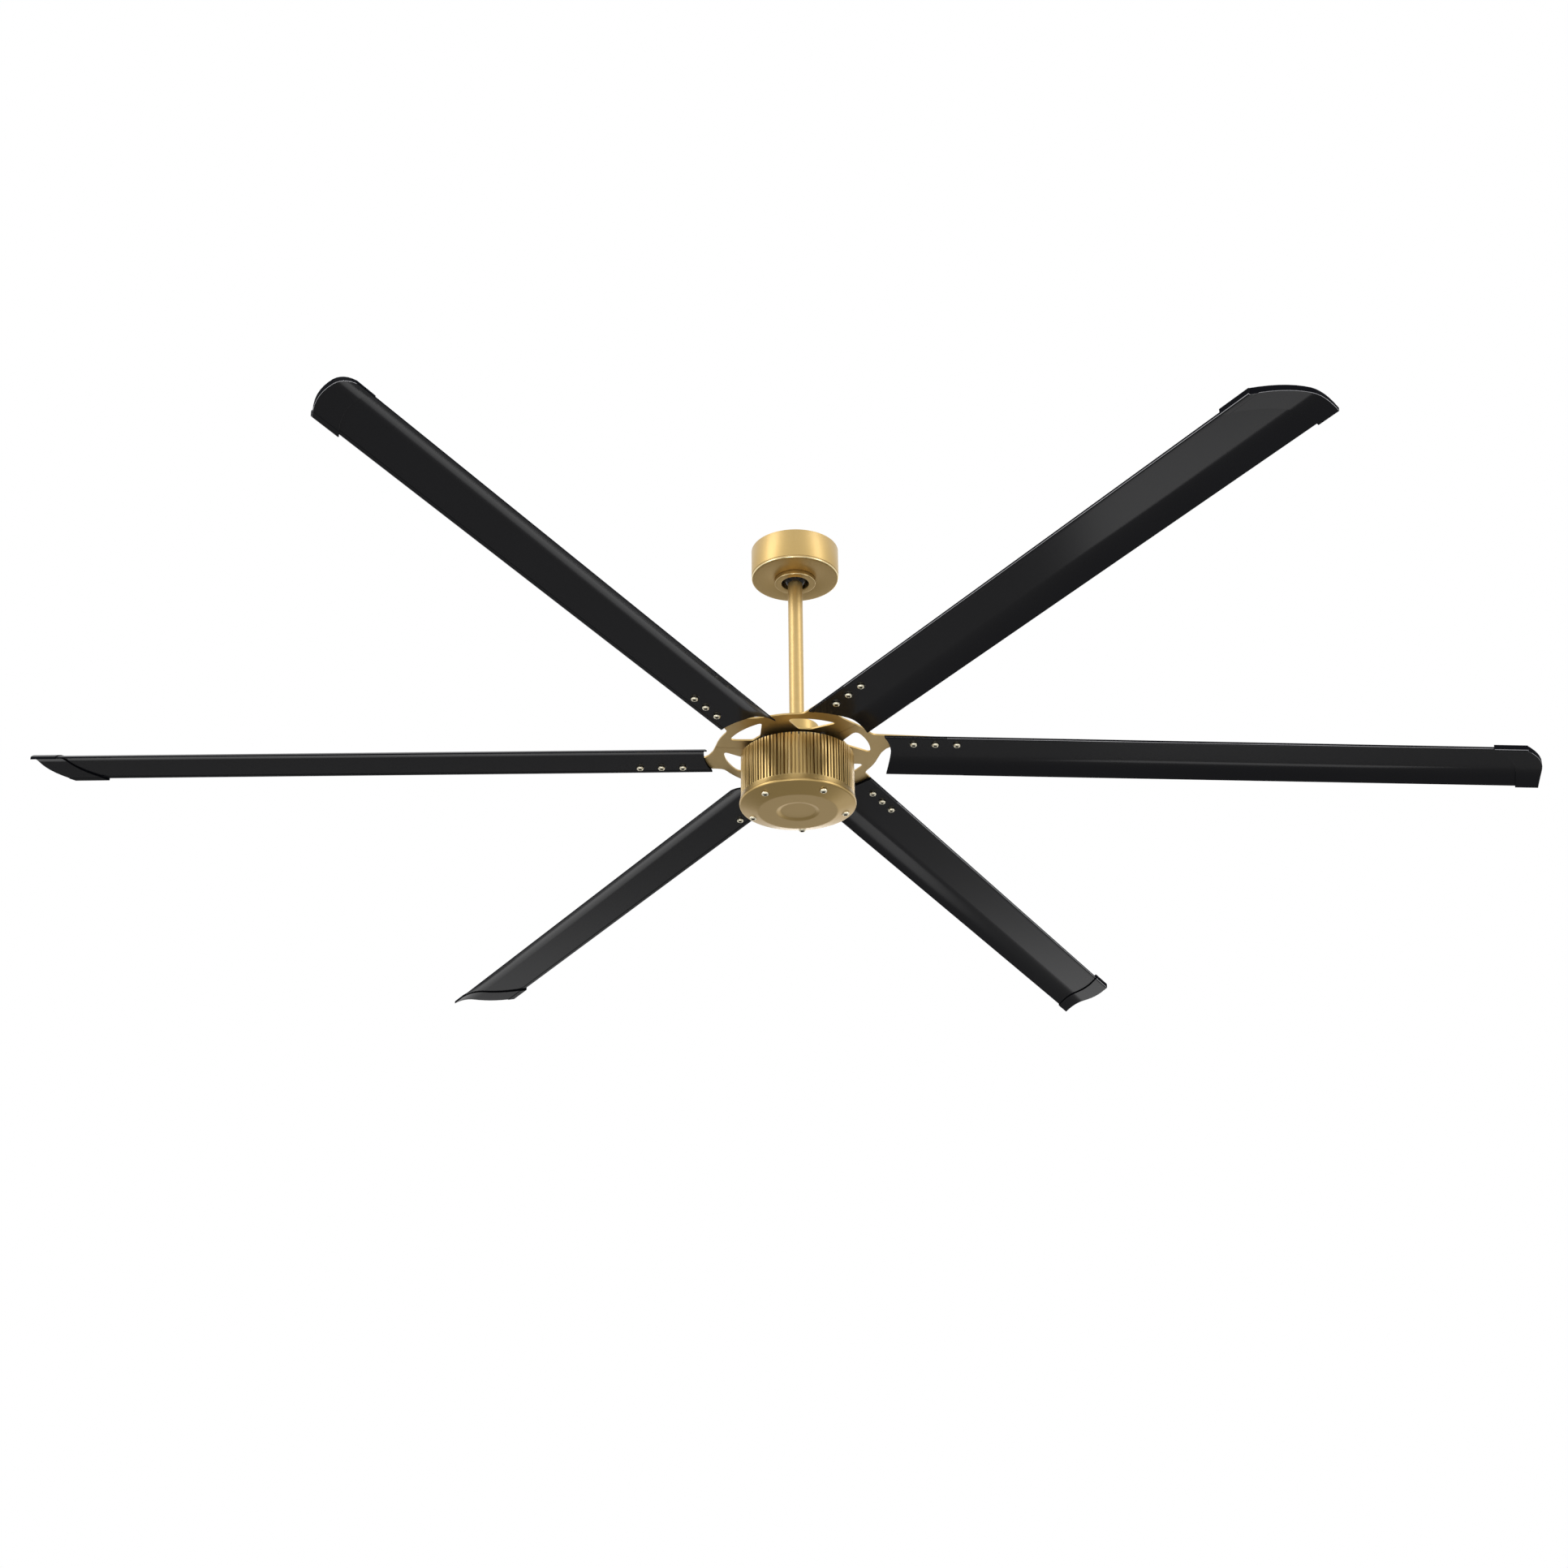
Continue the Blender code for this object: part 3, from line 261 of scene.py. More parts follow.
def make_turned_rings():
    """Fine rings round the fan's axis, as a lathe tool or a polishing mop leaves them."""
    group, given, made = new_group("turned rings", {"Rings Per Metre": 1500}, ["Height"])
    parts = group.nodes.new("ShaderNodeSeparateXYZ")
    group.links.new(group.nodes.new("ShaderNodeTexCoord").outputs["Object"], parts.inputs[0])
    squares = [add_math(group, "MULTIPLY", parts.outputs[axis], parts.outputs[axis]) for axis in "XY"]
    radius = add_math(group, "SQRT", add_math(group, "ADD", squares[0], squares[1]))
    joined = group.nodes.new("ShaderNodeCombineXYZ")
    group.links.new(radius, joined.inputs["X"])
    group.links.new(parts.outputs["Z"], joined.inputs["Y"])
    rings = add_noise(group, joined.outputs[0], given.outputs["Rings Per Metre"], 2)
    group.links.new(rings, made.inputs["Height"])
    return group


def make_edge_wear_and_highlight():
    """Mask of the convex edges, broken up by noise, for edge wear and a painted highlight."""
    group, given, made = new_group("edge wear and painted highlight", {"Start": 0.52, "Patches Per Metre": 120}, ["Mask"])
    sharp = group.nodes.new("ShaderNodeNewGeometry").outputs["Pointiness"]
    edge = group.nodes.new("ShaderNodeMapRange")
    group.links.new(sharp, edge.inputs["Value"])
    group.links.new(given.outputs["Start"], edge.inputs["From Min"])
    group.links.new(add_math(group, "ADD", given.outputs["Start"], wear_and_highlight_fade), edge.inputs["From Max"])
    place = group.nodes.new("ShaderNodeTexCoord").outputs["Object"]
    patches = add_noise(group, place, given.outputs["Patches Per Metre"], 3)
    group.links.new(add_math(group, "MULTIPLY", edge.outputs[0], patches), made.inputs["Mask"])
    return group


def make_settled_dust():
    """Mask of the dust on what faces up."""
    group, given, made = new_group("settled dust", {"Amount": 0.5}, ["Mask"])
    parts = group.nodes.new("ShaderNodeSeparateXYZ")
    group.links.new(group.nodes.new("ShaderNodeNewGeometry").outputs["Normal"], parts.inputs[0])
    upward = add_math(group, "MAXIMUM", parts.outputs["Z"], 0.0)
    facing_up = add_math(group, "POWER", upward, dust_steepness)
    place = group.nodes.new("ShaderNodeTexCoord").outputs["Object"]
    patches = add_noise(group, place, dust_patches, 5)
    dust = add_math(group, "MULTIPLY", facing_up, patches)
    group.links.new(add_math(group, "MULTIPLY", dust, given.outputs["Amount"]), made.inputs["Mask"])
    return group


def make_thin_walls():
    """Coat weight: full on what faces up or down, thin on upright walls and narrow edges."""
    group, given, made = new_group("thin coat on walls", {"Full": 0.26, "Thin": 0.03}, ["Coat"])
    parts = group.nodes.new("ShaderNodeSeparateXYZ")
    group.links.new(group.nodes.new("ShaderNodeNewGeometry").outputs["Normal"], parts.inputs[0])
    share = group.nodes.new("ShaderNodeMapRange")
    share.inputs["From Min"].default_value = wall_lean
    share.inputs["From Max"].default_value = flat_lean
    group.links.new(add_math(group, "ABSOLUTE", parts.outputs["Z"]), share.inputs["Value"])
    group.links.new(given.outputs["Thin"], share.inputs["To Min"])
    group.links.new(given.outputs["Full"], share.inputs["To Max"])
    group.links.new(share.outputs[0], made.inputs["Coat"])
    return group


turned_rings, edge_wear_and_highlight, settled_dust = make_turned_rings(), make_edge_wear_and_highlight(), make_settled_dust()
thin_walls = make_thin_walls()
print("groups", [group.name for group in bpy.data.node_groups])

# %% [markdown]
# ## Finishes
#
# The gold is a metal-flake paint under a clear lacquer: the flakes give the warm metal, and the
# lacquer gives the whiter, sharper light bands. The blades are an aluminium extrusion with a
# satin black coat. A finish starts from a plain shader, then takes tone, roughness and height
# from the shared groups, then lighter edges (partly wear, partly a painted highlight) and dust on
# top. Where a painted highlight is a clear line, as on a rolled bead or a blade's rim, it is a
# second finish on the narrow faces, because a mask made from a mesh's corners would smear over
# the large flat faces beside them.

# %% Finish maker
dust_colour = (0.36, 0.34, 0.31, 1.0)
dust_roughness = 0.5
ring_density = 1500


def add_group(tree, group, values):
    """A shared effect in a material's tree, with its values (input name: value)."""
    node = tree.nodes.new("ShaderNodeGroup")
    node.node_tree = group
    for label, value in values.items():
        node.inputs[label].default_value = value
    return node


def mix_colour(tree, factor, first, second, blend="MIX"):
    """A colour mix; the factor and each colour is a socket or a value."""
    node = tree.nodes.new("ShaderNodeMix")
    node.data_type = "RGBA"
    node.blend_type = blend
    for index, value in ((0, factor), (6, first), (7, second)):
        if isinstance(value, bpy.types.NodeSocket):
            tree.links.new(value, node.inputs[index])
        else:
            node.inputs[index].default_value = value
    return node.outputs[2]


def make_finish(name, colour, metal, roughness, coat=0.0, coat_roughness=0.1, grain=1400, peel=260,
                tone=0.06, spread=0.1, bump=0.00002, wear_and_highlight_colour=None, wear_and_highlight_start=0.53, dust=0.25,
                rings=0.0, sheen_level=0.5, wall_coat=None):
    """A coated or bare finish with its grain, wear and dust."""
    material = bpy.data.materials.new(name)
    material.use_nodes = True
    tree = material.node_tree
    shader = tree.nodes["Principled BSDF"]
    shader.inputs["Metallic"].default_value = metal
    shader.inputs["Specular IOR Level"].default_value = sheen_level
    shader.inputs["Coat Weight"].default_value = coat
    shader.inputs["Coat Roughness"].default_value = coat_roughness
    if wall_coat is not None:
        thinned = add_group(tree, thin_walls, {"Full": coat, "Thin": wall_coat})
        tree.links.new(thinned.outputs["Coat"], shader.inputs["Coat Weight"])
    film = add_group(tree, spray_coat, {"Grain Per Metre": grain, "Peel Per Metre": peel,
                     "Tone Spread": tone, "Roughness": roughness, "Roughness Spread": spread})
    tint = tree.nodes.new("ShaderNodeCombineColor")
    for channel in range(3):
        tree.links.new(film.outputs["Tone"], tint.inputs[channel])
    shown = mix_colour(tree, 1.0, (*colour, 1.0), tint.outputs[0], "MULTIPLY")
    # Convex edges take a lighter colour: partly wear, partly a painted highlight.
    if wear_and_highlight_colour:
        wear_and_highlight_mask = add_group(tree, edge_wear_and_highlight, {"Start": wear_and_highlight_start})
        shown = mix_colour(tree, wear_and_highlight_mask.outputs["Mask"], shown, (*wear_and_highlight_colour, 1.0))
    settled = add_group(tree, settled_dust, {"Amount": dust})
    shown = mix_colour(tree, settled.outputs["Mask"], shown, dust_colour)
    tree.links.new(shown, shader.inputs["Base Color"])
    rougher = add_math(tree, "MULTIPLY", settled.outputs["Mask"], dust_roughness)
    dusty = add_math(tree, "ADD", film.outputs["Roughness"], rougher)
    tree.links.new(dusty, shader.inputs["Roughness"])
    relief = film.outputs["Height"]
    if rings:
        turned_marks = add_group(tree, turned_rings, {"Rings Per Metre": ring_density})
        marks = add_math(tree, "MULTIPLY", turned_marks.outputs["Height"], rings)
        relief = add_math(tree, "ADD", relief, marks)
    bumps = tree.nodes.new("ShaderNodeBump")
    bumps.inputs["Distance"].default_value = bump
    tree.links.new(relief, bumps.inputs["Height"])
    tree.links.new(bumps.outputs["Normal"], shader.inputs["Normal"])
    return material


# %% Finishes
gold_tone = (0.51, 0.355, 0.135)
# Edge colours lighter than the coats: partly wear, partly a painted highlight along the edges.
gold_wear_and_highlight = (0.82, 0.68, 0.42)
black_tone = (0.0065, 0.0068, 0.0090)
black_wear_and_highlight = (0.30, 0.30, 0.31)
finishes = {
    "gold": make_finish("champagne gold lacquer", gold_tone, 1.0, 0.44, coat=0.25, coat_roughness=0.20,
                        wear_and_highlight_colour=gold_wear_and_highlight),
    "turned gold": make_finish("champagne gold on turned metal", gold_tone, 1.0, 0.42, coat=0.2,
                               coat_roughness=0.20, rings=0.4, wear_and_highlight_colour=gold_wear_and_highlight),
    "fin gold": make_finish("champagne gold on cast fins", gold_tone, 1.0, 0.33, coat=0.25,
                            coat_roughness=0.12, wear_and_highlight_colour=gold_wear_and_highlight, wear_and_highlight_start=0.56),
    # A lighter, smoother gold: a painted highlight along the rolled bead.
    "painted bead highlight": make_finish("smoother gold with a painted highlight on a rolled bead", (0.80, 0.66, 0.38), 1.0, 0.24, coat=0.3,
                             coat_roughness=0.10, dust=0.05),
    "screw": make_finish("bright gold plating", (0.93, 0.87, 0.68), 1.0, 0.33, grain=900, peel=300,
                         bump=0.000002, dust=0.05),
    "recess": make_finish("shaded recess of a screw", (0.05, 0.042, 0.025), 0.6, 0.6, dust=0.05),
    "blade": make_finish("satin black coat on aluminium", black_tone, 0.0, 0.34, coat=0.40,
                         coat_roughness=0.16, grain=1800, peel=320, tone=0.3, wear_and_highlight_colour=black_wear_and_highlight,
                         wear_and_highlight_start=0.60, dust=0.05, sheen_level=0.0, wall_coat=0.03),
    "end cap": make_finish("black moulded end cap", black_tone, 0.0, 0.32, coat=0.40,
                           coat_roughness=0.14, grain=2400, peel=500, tone=0.2, wear_and_highlight_colour=black_wear_and_highlight,
                           wear_and_highlight_start=0.60, dust=0.05, sheen_level=0.0, wall_coat=0.03),
    # A light grey for narrow edge faces: a painted highlight.
    "edge highlight": make_finish("painted edge highlight on a black coat", (0.42, 0.42, 0.44), 0.3, 0.35, grain=1800,
                               peel=320, tone=0.6, dust=0.05),
    "ball": make_finish("smooth black ball", (0.010, 0.010, 0.011), 0.0, 0.18, grain=900, peel=200),
    "bracket": make_finish("black coated steel sheet", (0.022, 0.022, 0.022), 0.2, 0.48, bump=0.00004,
                           wear_and_highlight_colour=(0.22, 0.21, 0.20)),
    "steel": make_finish("turned steel", (0.56, 0.55, 0.54), 1.0, 0.28, rings=1.0, tone=0.1),
    "core": make_finish("laminated stator steel", (0.24, 0.24, 0.25), 1.0, 0.45, tone=0.2),
    "copper": make_finish("enamelled copper wire", (0.62, 0.26, 0.10), 1.0, 0.30, coat=0.5, tone=0.2),
    "magnet": make_finish("coated magnet", (0.12, 0.12, 0.13), 0.7, 0.5, tone=0.1),
    "driver": make_finish("black driver case", (0.035, 0.035, 0.038), 0.0, 0.50, grain=1100, peel=900,
                          bump=0.00005, tone=0.2),
}
print("finishes", len(finishes))

# %% [markdown]
# ## Ways of working
#
# Round pieces start as one circle that is extruded from ring to ring along their profile, as a
# lathe would cut them. Flat and folded pieces start from a copy of their solid, whose loose
# triangles are merged first. Then a Bevel modifier breaks every sharp edge, because a real edge
# is never perfectly sharp, and that thin rounded edge is what catches the light.

# %% Modelling helpers
hair = 0.00001
by_face_size = 100


def take(piece):
    """Makes a piece the only one that is selected."""
    bpy.ops.object.select_all(action="DESELECT")
    piece.select_set(True)
    bpy.context.view_layer.objects.active = piece


def arc(centre, radius, start, end, steps):
    """Profile points (radius, height) of an arc between two angles in degrees, with both ends."""
    angles = [math.radians(start + (end - start) * step / steps) for step in range(steps + 1)]
    return [(centre[0] + radius * math.cos(a), centre[1] + radius * math.sin(a)) for a in angles]


def soft_corner(before, corner, after, reach, steps):
    """Profile points that round a corner, from the reach before it to the reach after it."""
    middle = Vector(corner)
    first = middle + (Vector(before) - middle).normalized() * reach
    last = middle + (Vector(after) - middle).normalized() * reach
    points = []
    for step in range(steps + 1):
        share = step / steps
        points.append(tuple(first * (1 - share) ** 2 + middle * 2 * share * (1 - share) + last * share ** 2))
    return points


def turn_piece(name, profile, sides, closed=True, pole=False):
    """Extrudes a circle along a profile; closed joins the last ring to the first, pole fills the last."""
    radius, height = profile[0]
    bpy.ops.object.select_all(action="DESELECT")
    bpy.ops.mesh.primitive_circle_add(vertices=sides, radius=radius, location=(0, 0, height))
    piece = bpy.context.object
    piece.name = name
    bpy.ops.object.transform_apply(location=True)
    bpy.ops.object.mode_set(mode="EDIT")
    bpy.ops.mesh.select_all(action="SELECT")
    for next_radius, next_height in profile[1:]:
        bpy.ops.mesh.extrude_edges_move(TRANSFORM_OT_translate={"value": (0, 0, next_height - height)})
        ratio = next_radius / radius
        bpy.ops.transform.resize(value=(ratio, ratio, 1), center_override=(0, 0, next_height))
        radius, height = next_radius, next_height
    if pole:
        bpy.ops.mesh.edge_face_add()
    if closed:
        bpy.ops.object.mode_set(mode="OBJECT")
        select_rings(piece, profile[0], profile[-1])
        bpy.ops.object.mode_set(mode="EDIT")
        bpy.ops.mesh.bridge_edge_loops()
    bpy.ops.mesh.select_all(action="SELECT")
    bpy.ops.mesh.normals_make_consistent(inside=False)
    bpy.ops.object.mode_set(mode="OBJECT")
    return piece


def select_rings(piece, *rings):
    """Selects the edges of the rings at the given radii and heights."""
    for edge in piece.data.edges:
        ends = [piece.data.vertices[i].co for i in edge.vertices]
        edge.select = any(all(abs(e.xy.length - r) < hair and abs(e.z - z) < hair for e in ends)
                          for r, z in rings)
    for vertex in piece.data.vertices:
        vertex.select = any(abs(vertex.co.xy.length - r) < hair and abs(vertex.co.z - z) < hair
                            for r, z in rings)
    for face in piece.data.polygons:
        face.select = False


def round_edges(piece, width, segments=2, limit=30):
    """Breaks every edge that is sharper than the limit, in degrees."""
    take(piece)
    modifier = piece.modifiers.new("rounded edges", "BEVEL")
    modifier.width = width
    modifier.segments = segments
    modifier.limit_method = "ANGLE"
    modifier.angle_limit = math.radians(limit)
    modifier.use_clamp_overlap = True
    bpy.ops.object.modifier_apply(modifier=modifier.name)


def cut_away(piece, cutter):
    """Cuts a cutter's shape out of a piece and throws the cutter away."""
    take(piece)
    modifier = piece.modifiers.new("cut", "BOOLEAN")
    modifier.operation = "DIFFERENCE"
    modifier.object = cutter
    modifier.solver = "EXACT"
    bpy.ops.object.modifier_apply(modifier=modifier.name)
    bpy.data.objects.remove(cutter, do_unlink=True)
    bpy.ops.object.mode_set(mode="EDIT")
    bpy.ops.mesh.select_all(action="SELECT")
    bpy.ops.mesh.dissolve_degenerate(threshold=hair)
    bpy.ops.object.mode_set(mode="OBJECT")


def copy_node(node, name, flat_within=0.4):
    """A loose copy of a solid, its triangles merged where they are flat within an angle in degrees."""
    piece = nodes[node].copy()
    piece.data = nodes[node].data.copy()
    bpy.context.scene.collection.objects.link(piece)
    piece.name = name
    piece.parent = None
    for key in list(piece.keys()):
        del piece[key]
    take(piece)
    bpy.ops.object.mode_set(mode="EDIT")
    bpy.ops.mesh.select_all(action="SELECT")
    bpy.ops.mesh.remove_doubles(threshold=2 * hair)
    bpy.ops.mesh.dissolve_limited(angle_limit=math.radians(flat_within))
    bpy.ops.object.mode_set(mode="OBJECT")
    piece.data.materials.clear()
    return piece


def even_shading(piece):
    """Lets the large faces decide how a corner is shaded, so that flat faces stay flat."""
    modifier = piece.modifiers.new("even shading", "WEIGHTED_NORMAL")
    modifier.keep_sharp = True
    modifier.weight = by_face_size
    bpy.ops.object.modifier_apply(modifier=modifier.name)


def hand_over(piece, body, replaced, finish, smooth=35, flat=False):
    """Shades a finished piece, gives it its finish and ties it to the frame."""
    take(piece)
    bpy.ops.object.shade_smooth_by_angle(angle=math.radians(smooth))
    if flat:
        even_shading(piece)
    piece.data.materials.clear()
    piece.data.materials.append(finishes[finish])
    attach(piece, body)
    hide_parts(*replaced)
    print(piece.name, "faces", len(piece.data.polygons))


def sizes(node):
    """Radius, foot and top of a round node on the fan's axis."""
    low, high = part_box(node)
    return high.x, low.z, high.z


# %% [markdown]
# ## Canopy and its trim ring
#
# The canopy is a cup of spun sheet metal, closed at the bottom but for a round hole, with a
# rolled bead where its side meets its lower face. It could be a cylinder with an inset face, but
# a turned profile gives the bead, its fine groove and the 1.5 mm sheet at once. The ring below it
# hides two screws in a groove on its upper side, so only its softly rounded face shows. The upper
# half of the bead and of the ring's rounded edge take a lighter, smoother gold: a painted highlight.

# %% Painted highlight on the bend
bend_upper, bend_lower = 0.12, 0.72


def paint_bend_highlight(piece, inner_radius, top):
    """Gives the upper half of the bend between an outer side and a lower face a painted highlight."""
    piece.data.materials.append(finishes["painted bead highlight"])
    highlighted = 0
    for face in piece.data.polygons:
        outer = face.center.xy.length > inner_radius and face.center.z < top
        if outer and -bend_lower < face.normal.z < -bend_upper:
            face.material_index = 1
            highlighted += 1
    print(piece.name, "polished faces", highlighted)


# %% Canopy
canopy_sheet = 0.0015
canopy_bend = 0.0035
bead_groove, bead_width = 0.0009, 0.0012
bead_slope_share, bead_top_share = 1.6, 2.0
fine_turn = 128
canopy_rounding, ring_rounding = 0.0004, 0.0002

canopy_radius, canopy_foot, canopy_top = sizes("canopy")
canopy_hole = 0.024
bend_centre = (canopy_radius - canopy_bend, canopy_foot + canopy_bend)
profile = [(canopy_radius, canopy_top), (canopy_radius, bend_centre[1] + bead_width * bead_top_share)]
profile += [(canopy_radius - bead_groove, bend_centre[1] + bead_width * bead_slope_share),
            (canopy_radius - bead_groove, bend_centre[1] + bead_width)]
profile += arc(bend_centre, canopy_bend, 0, -90, 10)
profile += [(canopy_hole, canopy_foot), (canopy_hole, canopy_foot + canopy_sheet)]
profile += arc(bend_centre, canopy_bend - canopy_sheet, -90, 0, 10)
profile += [(canopy_radius - canopy_sheet, canopy_top)]
canopy = turn_piece("canopy_cup", profile, fine_turn)
round_edges(canopy, canopy_rounding)
hand_over(canopy, "ceiling_mount", ["canopy"], "gold")
# A painted highlight on the upper half of the bead.
paint_bend_highlight(canopy, canopy_radius - canopy_bend, canopy_foot + canopy_bend)

# %% Trim ring
ring_radius, ring_foot, ring_top = sizes("canopy_ring")
ring_ease = 0.0012
groove_inner, groove_outer, ring_face = 0.0271, 0.0343, 0.0014
corner_out = (ring_radius - ring_ease, ring_foot + ring_ease)
corner_in = (canopy_hole + ring_ease, ring_foot + ring_ease)
profile = [(ring_radius, ring_top)] + arc(corner_out, ring_ease, 0, -90, 6)
profile += arc(corner_in, ring_ease, -90, -180, 6) + [(canopy_hole, ring_top)]
profile += [(groove_inner, ring_top), (groove_inner, ring_foot + ring_face)]
profile += [(groove_outer, ring_foot + ring_face), (groove_outer, ring_top)]
trim_ring = turn_piece("canopy_trim_ring", profile, fine_turn)
round_edges(trim_ring, ring_rounding)
hand_over(trim_ring, "ceiling_mount", ["canopy_ring"], "turned gold")
# A painted highlight on the upper half of the ring's rounded edge.
paint_bend_highlight(trim_ring, ring_radius - ring_ease, ring_foot + ring_ease)

# %% [markdown]
# ## Ball, downrod and coupling cover
#
# The fan hangs from a smooth moulded ball that sits in the bracket, so the rod always finds the
# plumb line. The rod is a plain tube. The ball and the rod share a cross pin, so both have a
# hole for it. The cup at the rod's foot hides the coupler between the rod and the motor shaft.

# %% Ball
pin_hole_radius = 0.0033
round_turn, pin_turn = 64, 24
past_ball, past_rod = 1.2, 1.5
tube_rounding = 0.0003


def drill_across(piece, height, reach):
    """A hole along X for a cross pin."""
    bpy.ops.object.select_all(action="DESELECT")
    bpy.ops.mesh.primitive_cylinder_add(vertices=pin_turn, radius=pin_hole_radius, depth=reach * 2,
                                        location=(0, 0, height), rotation=(0, math.pi / 2, 0))
    cut_away(piece, bpy.context.object)


rod_radius, rod_foot, rod_top = sizes("downrod")
ball_radius = sizes("hanger_ball")[0]
ball_height = -0.0445
ball_clearance = 0.0003
ball_bore = rod_radius + ball_clearance
flat_top = sizes("hanger_ball")[2] - ball_height
top_angle = math.degrees(math.asin(flat_top / ball_radius))
foot_angle = math.degrees(math.acos(ball_bore / ball_radius))
profile = arc((0, ball_height), ball_radius, top_angle, -foot_angle, 28)
profile.append((ball_bore, ball_height + flat_top))
ball = turn_piece("hanger_ball_round", profile, round_turn)
drill_across(ball, ball_height, ball_radius * past_ball)
round_edges(ball, tube_rounding)
hand_over(ball, "suspension", ["hanger_ball"], "ball")

# %% Downrod
rod_sheet = 0.0020
coupler_pin_height = (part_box("coupling_pin")[0].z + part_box("coupling_pin")[1].z) / 2
profile = [(rod_radius, rod_top), (rod_radius, rod_foot), (rod_radius - rod_sheet, rod_foot),
           (rod_radius - rod_sheet, rod_top)]
rod = turn_piece("downrod_tube", profile, round_turn)
drill_across(rod, ball_height, rod_radius * past_rod)
drill_across(rod, coupler_pin_height, rod_radius * past_rod)
round_edges(rod, tube_rounding)
hand_over(rod, "suspension", ["downrod"], "gold")

# %% Coupling cover
cover_sheet = 0.0015
cover_bend = 0.003
cover_radius, cover_foot, cover_top = sizes("coupling_cover")
centre = (cover_radius - cover_bend, cover_top - cover_bend)
profile = arc(centre, cover_bend, 90, 0, 8)
profile += [(cover_radius, cover_foot), (cover_radius - cover_sheet, cover_foot)]
profile += arc(centre, cover_bend - cover_sheet, 0, 90, 8)
profile += [(ball_bore, cover_top - cover_sheet), (ball_bore, cover_top)]
cover = turn_piece("coupling_cover_cup", profile, fine_turn)
round_edges(cover, tube_rounding)
hand_over(cover, "suspension", ["coupling_cover"], "turned gold")

# %% [markdown]
# ## Motor
#
# The drum is cast with forty-eight double ribs, each a pair of rounded fins with a groove
# between. Its solid already has the true outline, so a merged copy with beveled edges gives the
# rounded fins. The bottom cap is turned: a hollow flare under the fins, a fine groove, a rounded
# lip, a sloping ring, and a flat disc with a shallow dish. Five round pockets take the bolt heads.

# %% Drum and top cover
fin_rounding, fin_steps = 0.0009, 4
shortest_fin, outline_depth = 0.01, 0.0005
cast_rounding, plate_rounding = 0.0003, 0.0005
drum = copy_node("motor_drum", "motor_drum_fins")
drum_radius = sizes("motor_drum")[0]
for part in (drum.data.vertices, drum.data.edges, drum.data.polygons):
    for item in part:
        item.select = False
for edge in drum.data.edges:
    ends = [drum.data.vertices[i].co for i in edge.vertices]
    upright = abs(ends[0].z - ends[1].z) > shortest_fin
    edge.select = upright and ends[0].xy.length > drum_radius - outline_depth
bpy.ops.object.mode_set(mode="EDIT")
bpy.ops.mesh.select_mode(type="EDGE")
bpy.ops.mesh.bevel(offset=fin_rounding, segments=fin_steps, affect="EDGES", clamp_overlap=True)
bpy.ops.mesh.select_mode(type="VERT")
bpy.ops.object.mode_set(mode="OBJECT")
round_edges(drum, cast_rounding, limit=40)
hand_over(drum, "rotor", ["motor_drum"], "fin gold", smooth=50, flat=True)

# Black finish: partly a dark cover, partly painted shade for the gap between the plate and the fins.
top_cover = copy_node("motor_top_cover", "motor_top_cover_cast")
round_edges(top_cover, plate_rounding)
hand_over(top_cover, "rotor", ["motor_top_cover"], "bracket", flat=True)

# %% Bottom cap
cap_radius, cap_foot, cap_top = sizes("bottom_cap")
cap_neck, cap_neck_fall = 0.0960, 0.0095
cap_band = 0.0048
lip_bend = 0.0028
flare_steps, flare_curve = 10, 1.4
groove_depth, groove_width, groove_slope = 0.0005, 0.0004, 0.0001
groove_bend, disc_bend = 0.0004, 0.0022
cap_disc = 0.067
dish_radius, dish_slope, dish_depth, dish_steps = 0.037, 0.009, 0.0024, 10
cap_shell = 0.0040
band_top = cap_top - cap_neck_fall
band_foot = band_top - cap_band
groove_floor = cap_radius - groove_depth
lip_top = band_top - groove_width - groove_slope
flare = []
for step in range(1, flare_steps + 1):
    share = step / flare_steps
    outward = (cap_radius - cap_neck) * share ** flare_curve
    flare.append((cap_neck + outward, cap_top - cap_neck_fall * share))
flare += [(groove_floor, band_top - groove_slope), (groove_floor, band_top - groove_width)]
lip = soft_corner((groove_floor, lip_top), (cap_radius, lip_top), (cap_radius, band_foot), groove_bend, 3)
lip += soft_corner((cap_radius, band_top), (cap_radius, band_foot), (cap_disc, cap_foot), lip_bend, 10)
disc_edge = soft_corner((cap_radius, band_foot), (cap_disc, cap_foot), (dish_radius, cap_foot), disc_bend, 6)
dish = []
for step in range(dish_steps + 1):
    share = step / dish_steps
    rise = share * share * (3 - 2 * share)
    dish.append((dish_radius - dish_slope * share, cap_foot + dish_depth * rise))
profile = [(cap_neck, cap_top)] + flare + lip + disc_edge + dish
print("bottom cap rings", len(profile))

# %% Inside of the bottom cap
bearing_radius, bearing_foot, bearing_top = sizes("lower_bearing_outer")
seat_clearance = 0.0003
bearing_wall, bearing_lip = 0.0050, 0.0040
cap_floor = cap_foot + dish_depth + cap_shell
shelf = bearing_foot - seat_clearance
pocket = bearing_radius + seat_clearance
drum_bore = 0.0775
inside = [(drum_bore, cap_top), (drum_bore, band_top), (cap_disc - cap_shell, cap_floor),
          (pocket + bearing_wall, cap_floor), (pocket + bearing_wall, bearing_top), (pocket, bearing_top),
          (pocket, shelf), (pocket - bearing_lip, shelf), (pocket - bearing_lip, cap_floor)]
cap = turn_piece("bottom_cap_turned", list(reversed(profile)) + inside, fine_turn, closed=False, pole=True)
select_rings(cap, profile[-1])
bpy.ops.object.mode_set(mode="EDIT")
bpy.ops.mesh.edge_face_add()
bpy.ops.mesh.select_all(action="SELECT")
bpy.ops.mesh.normals_make_consistent(inside=False)
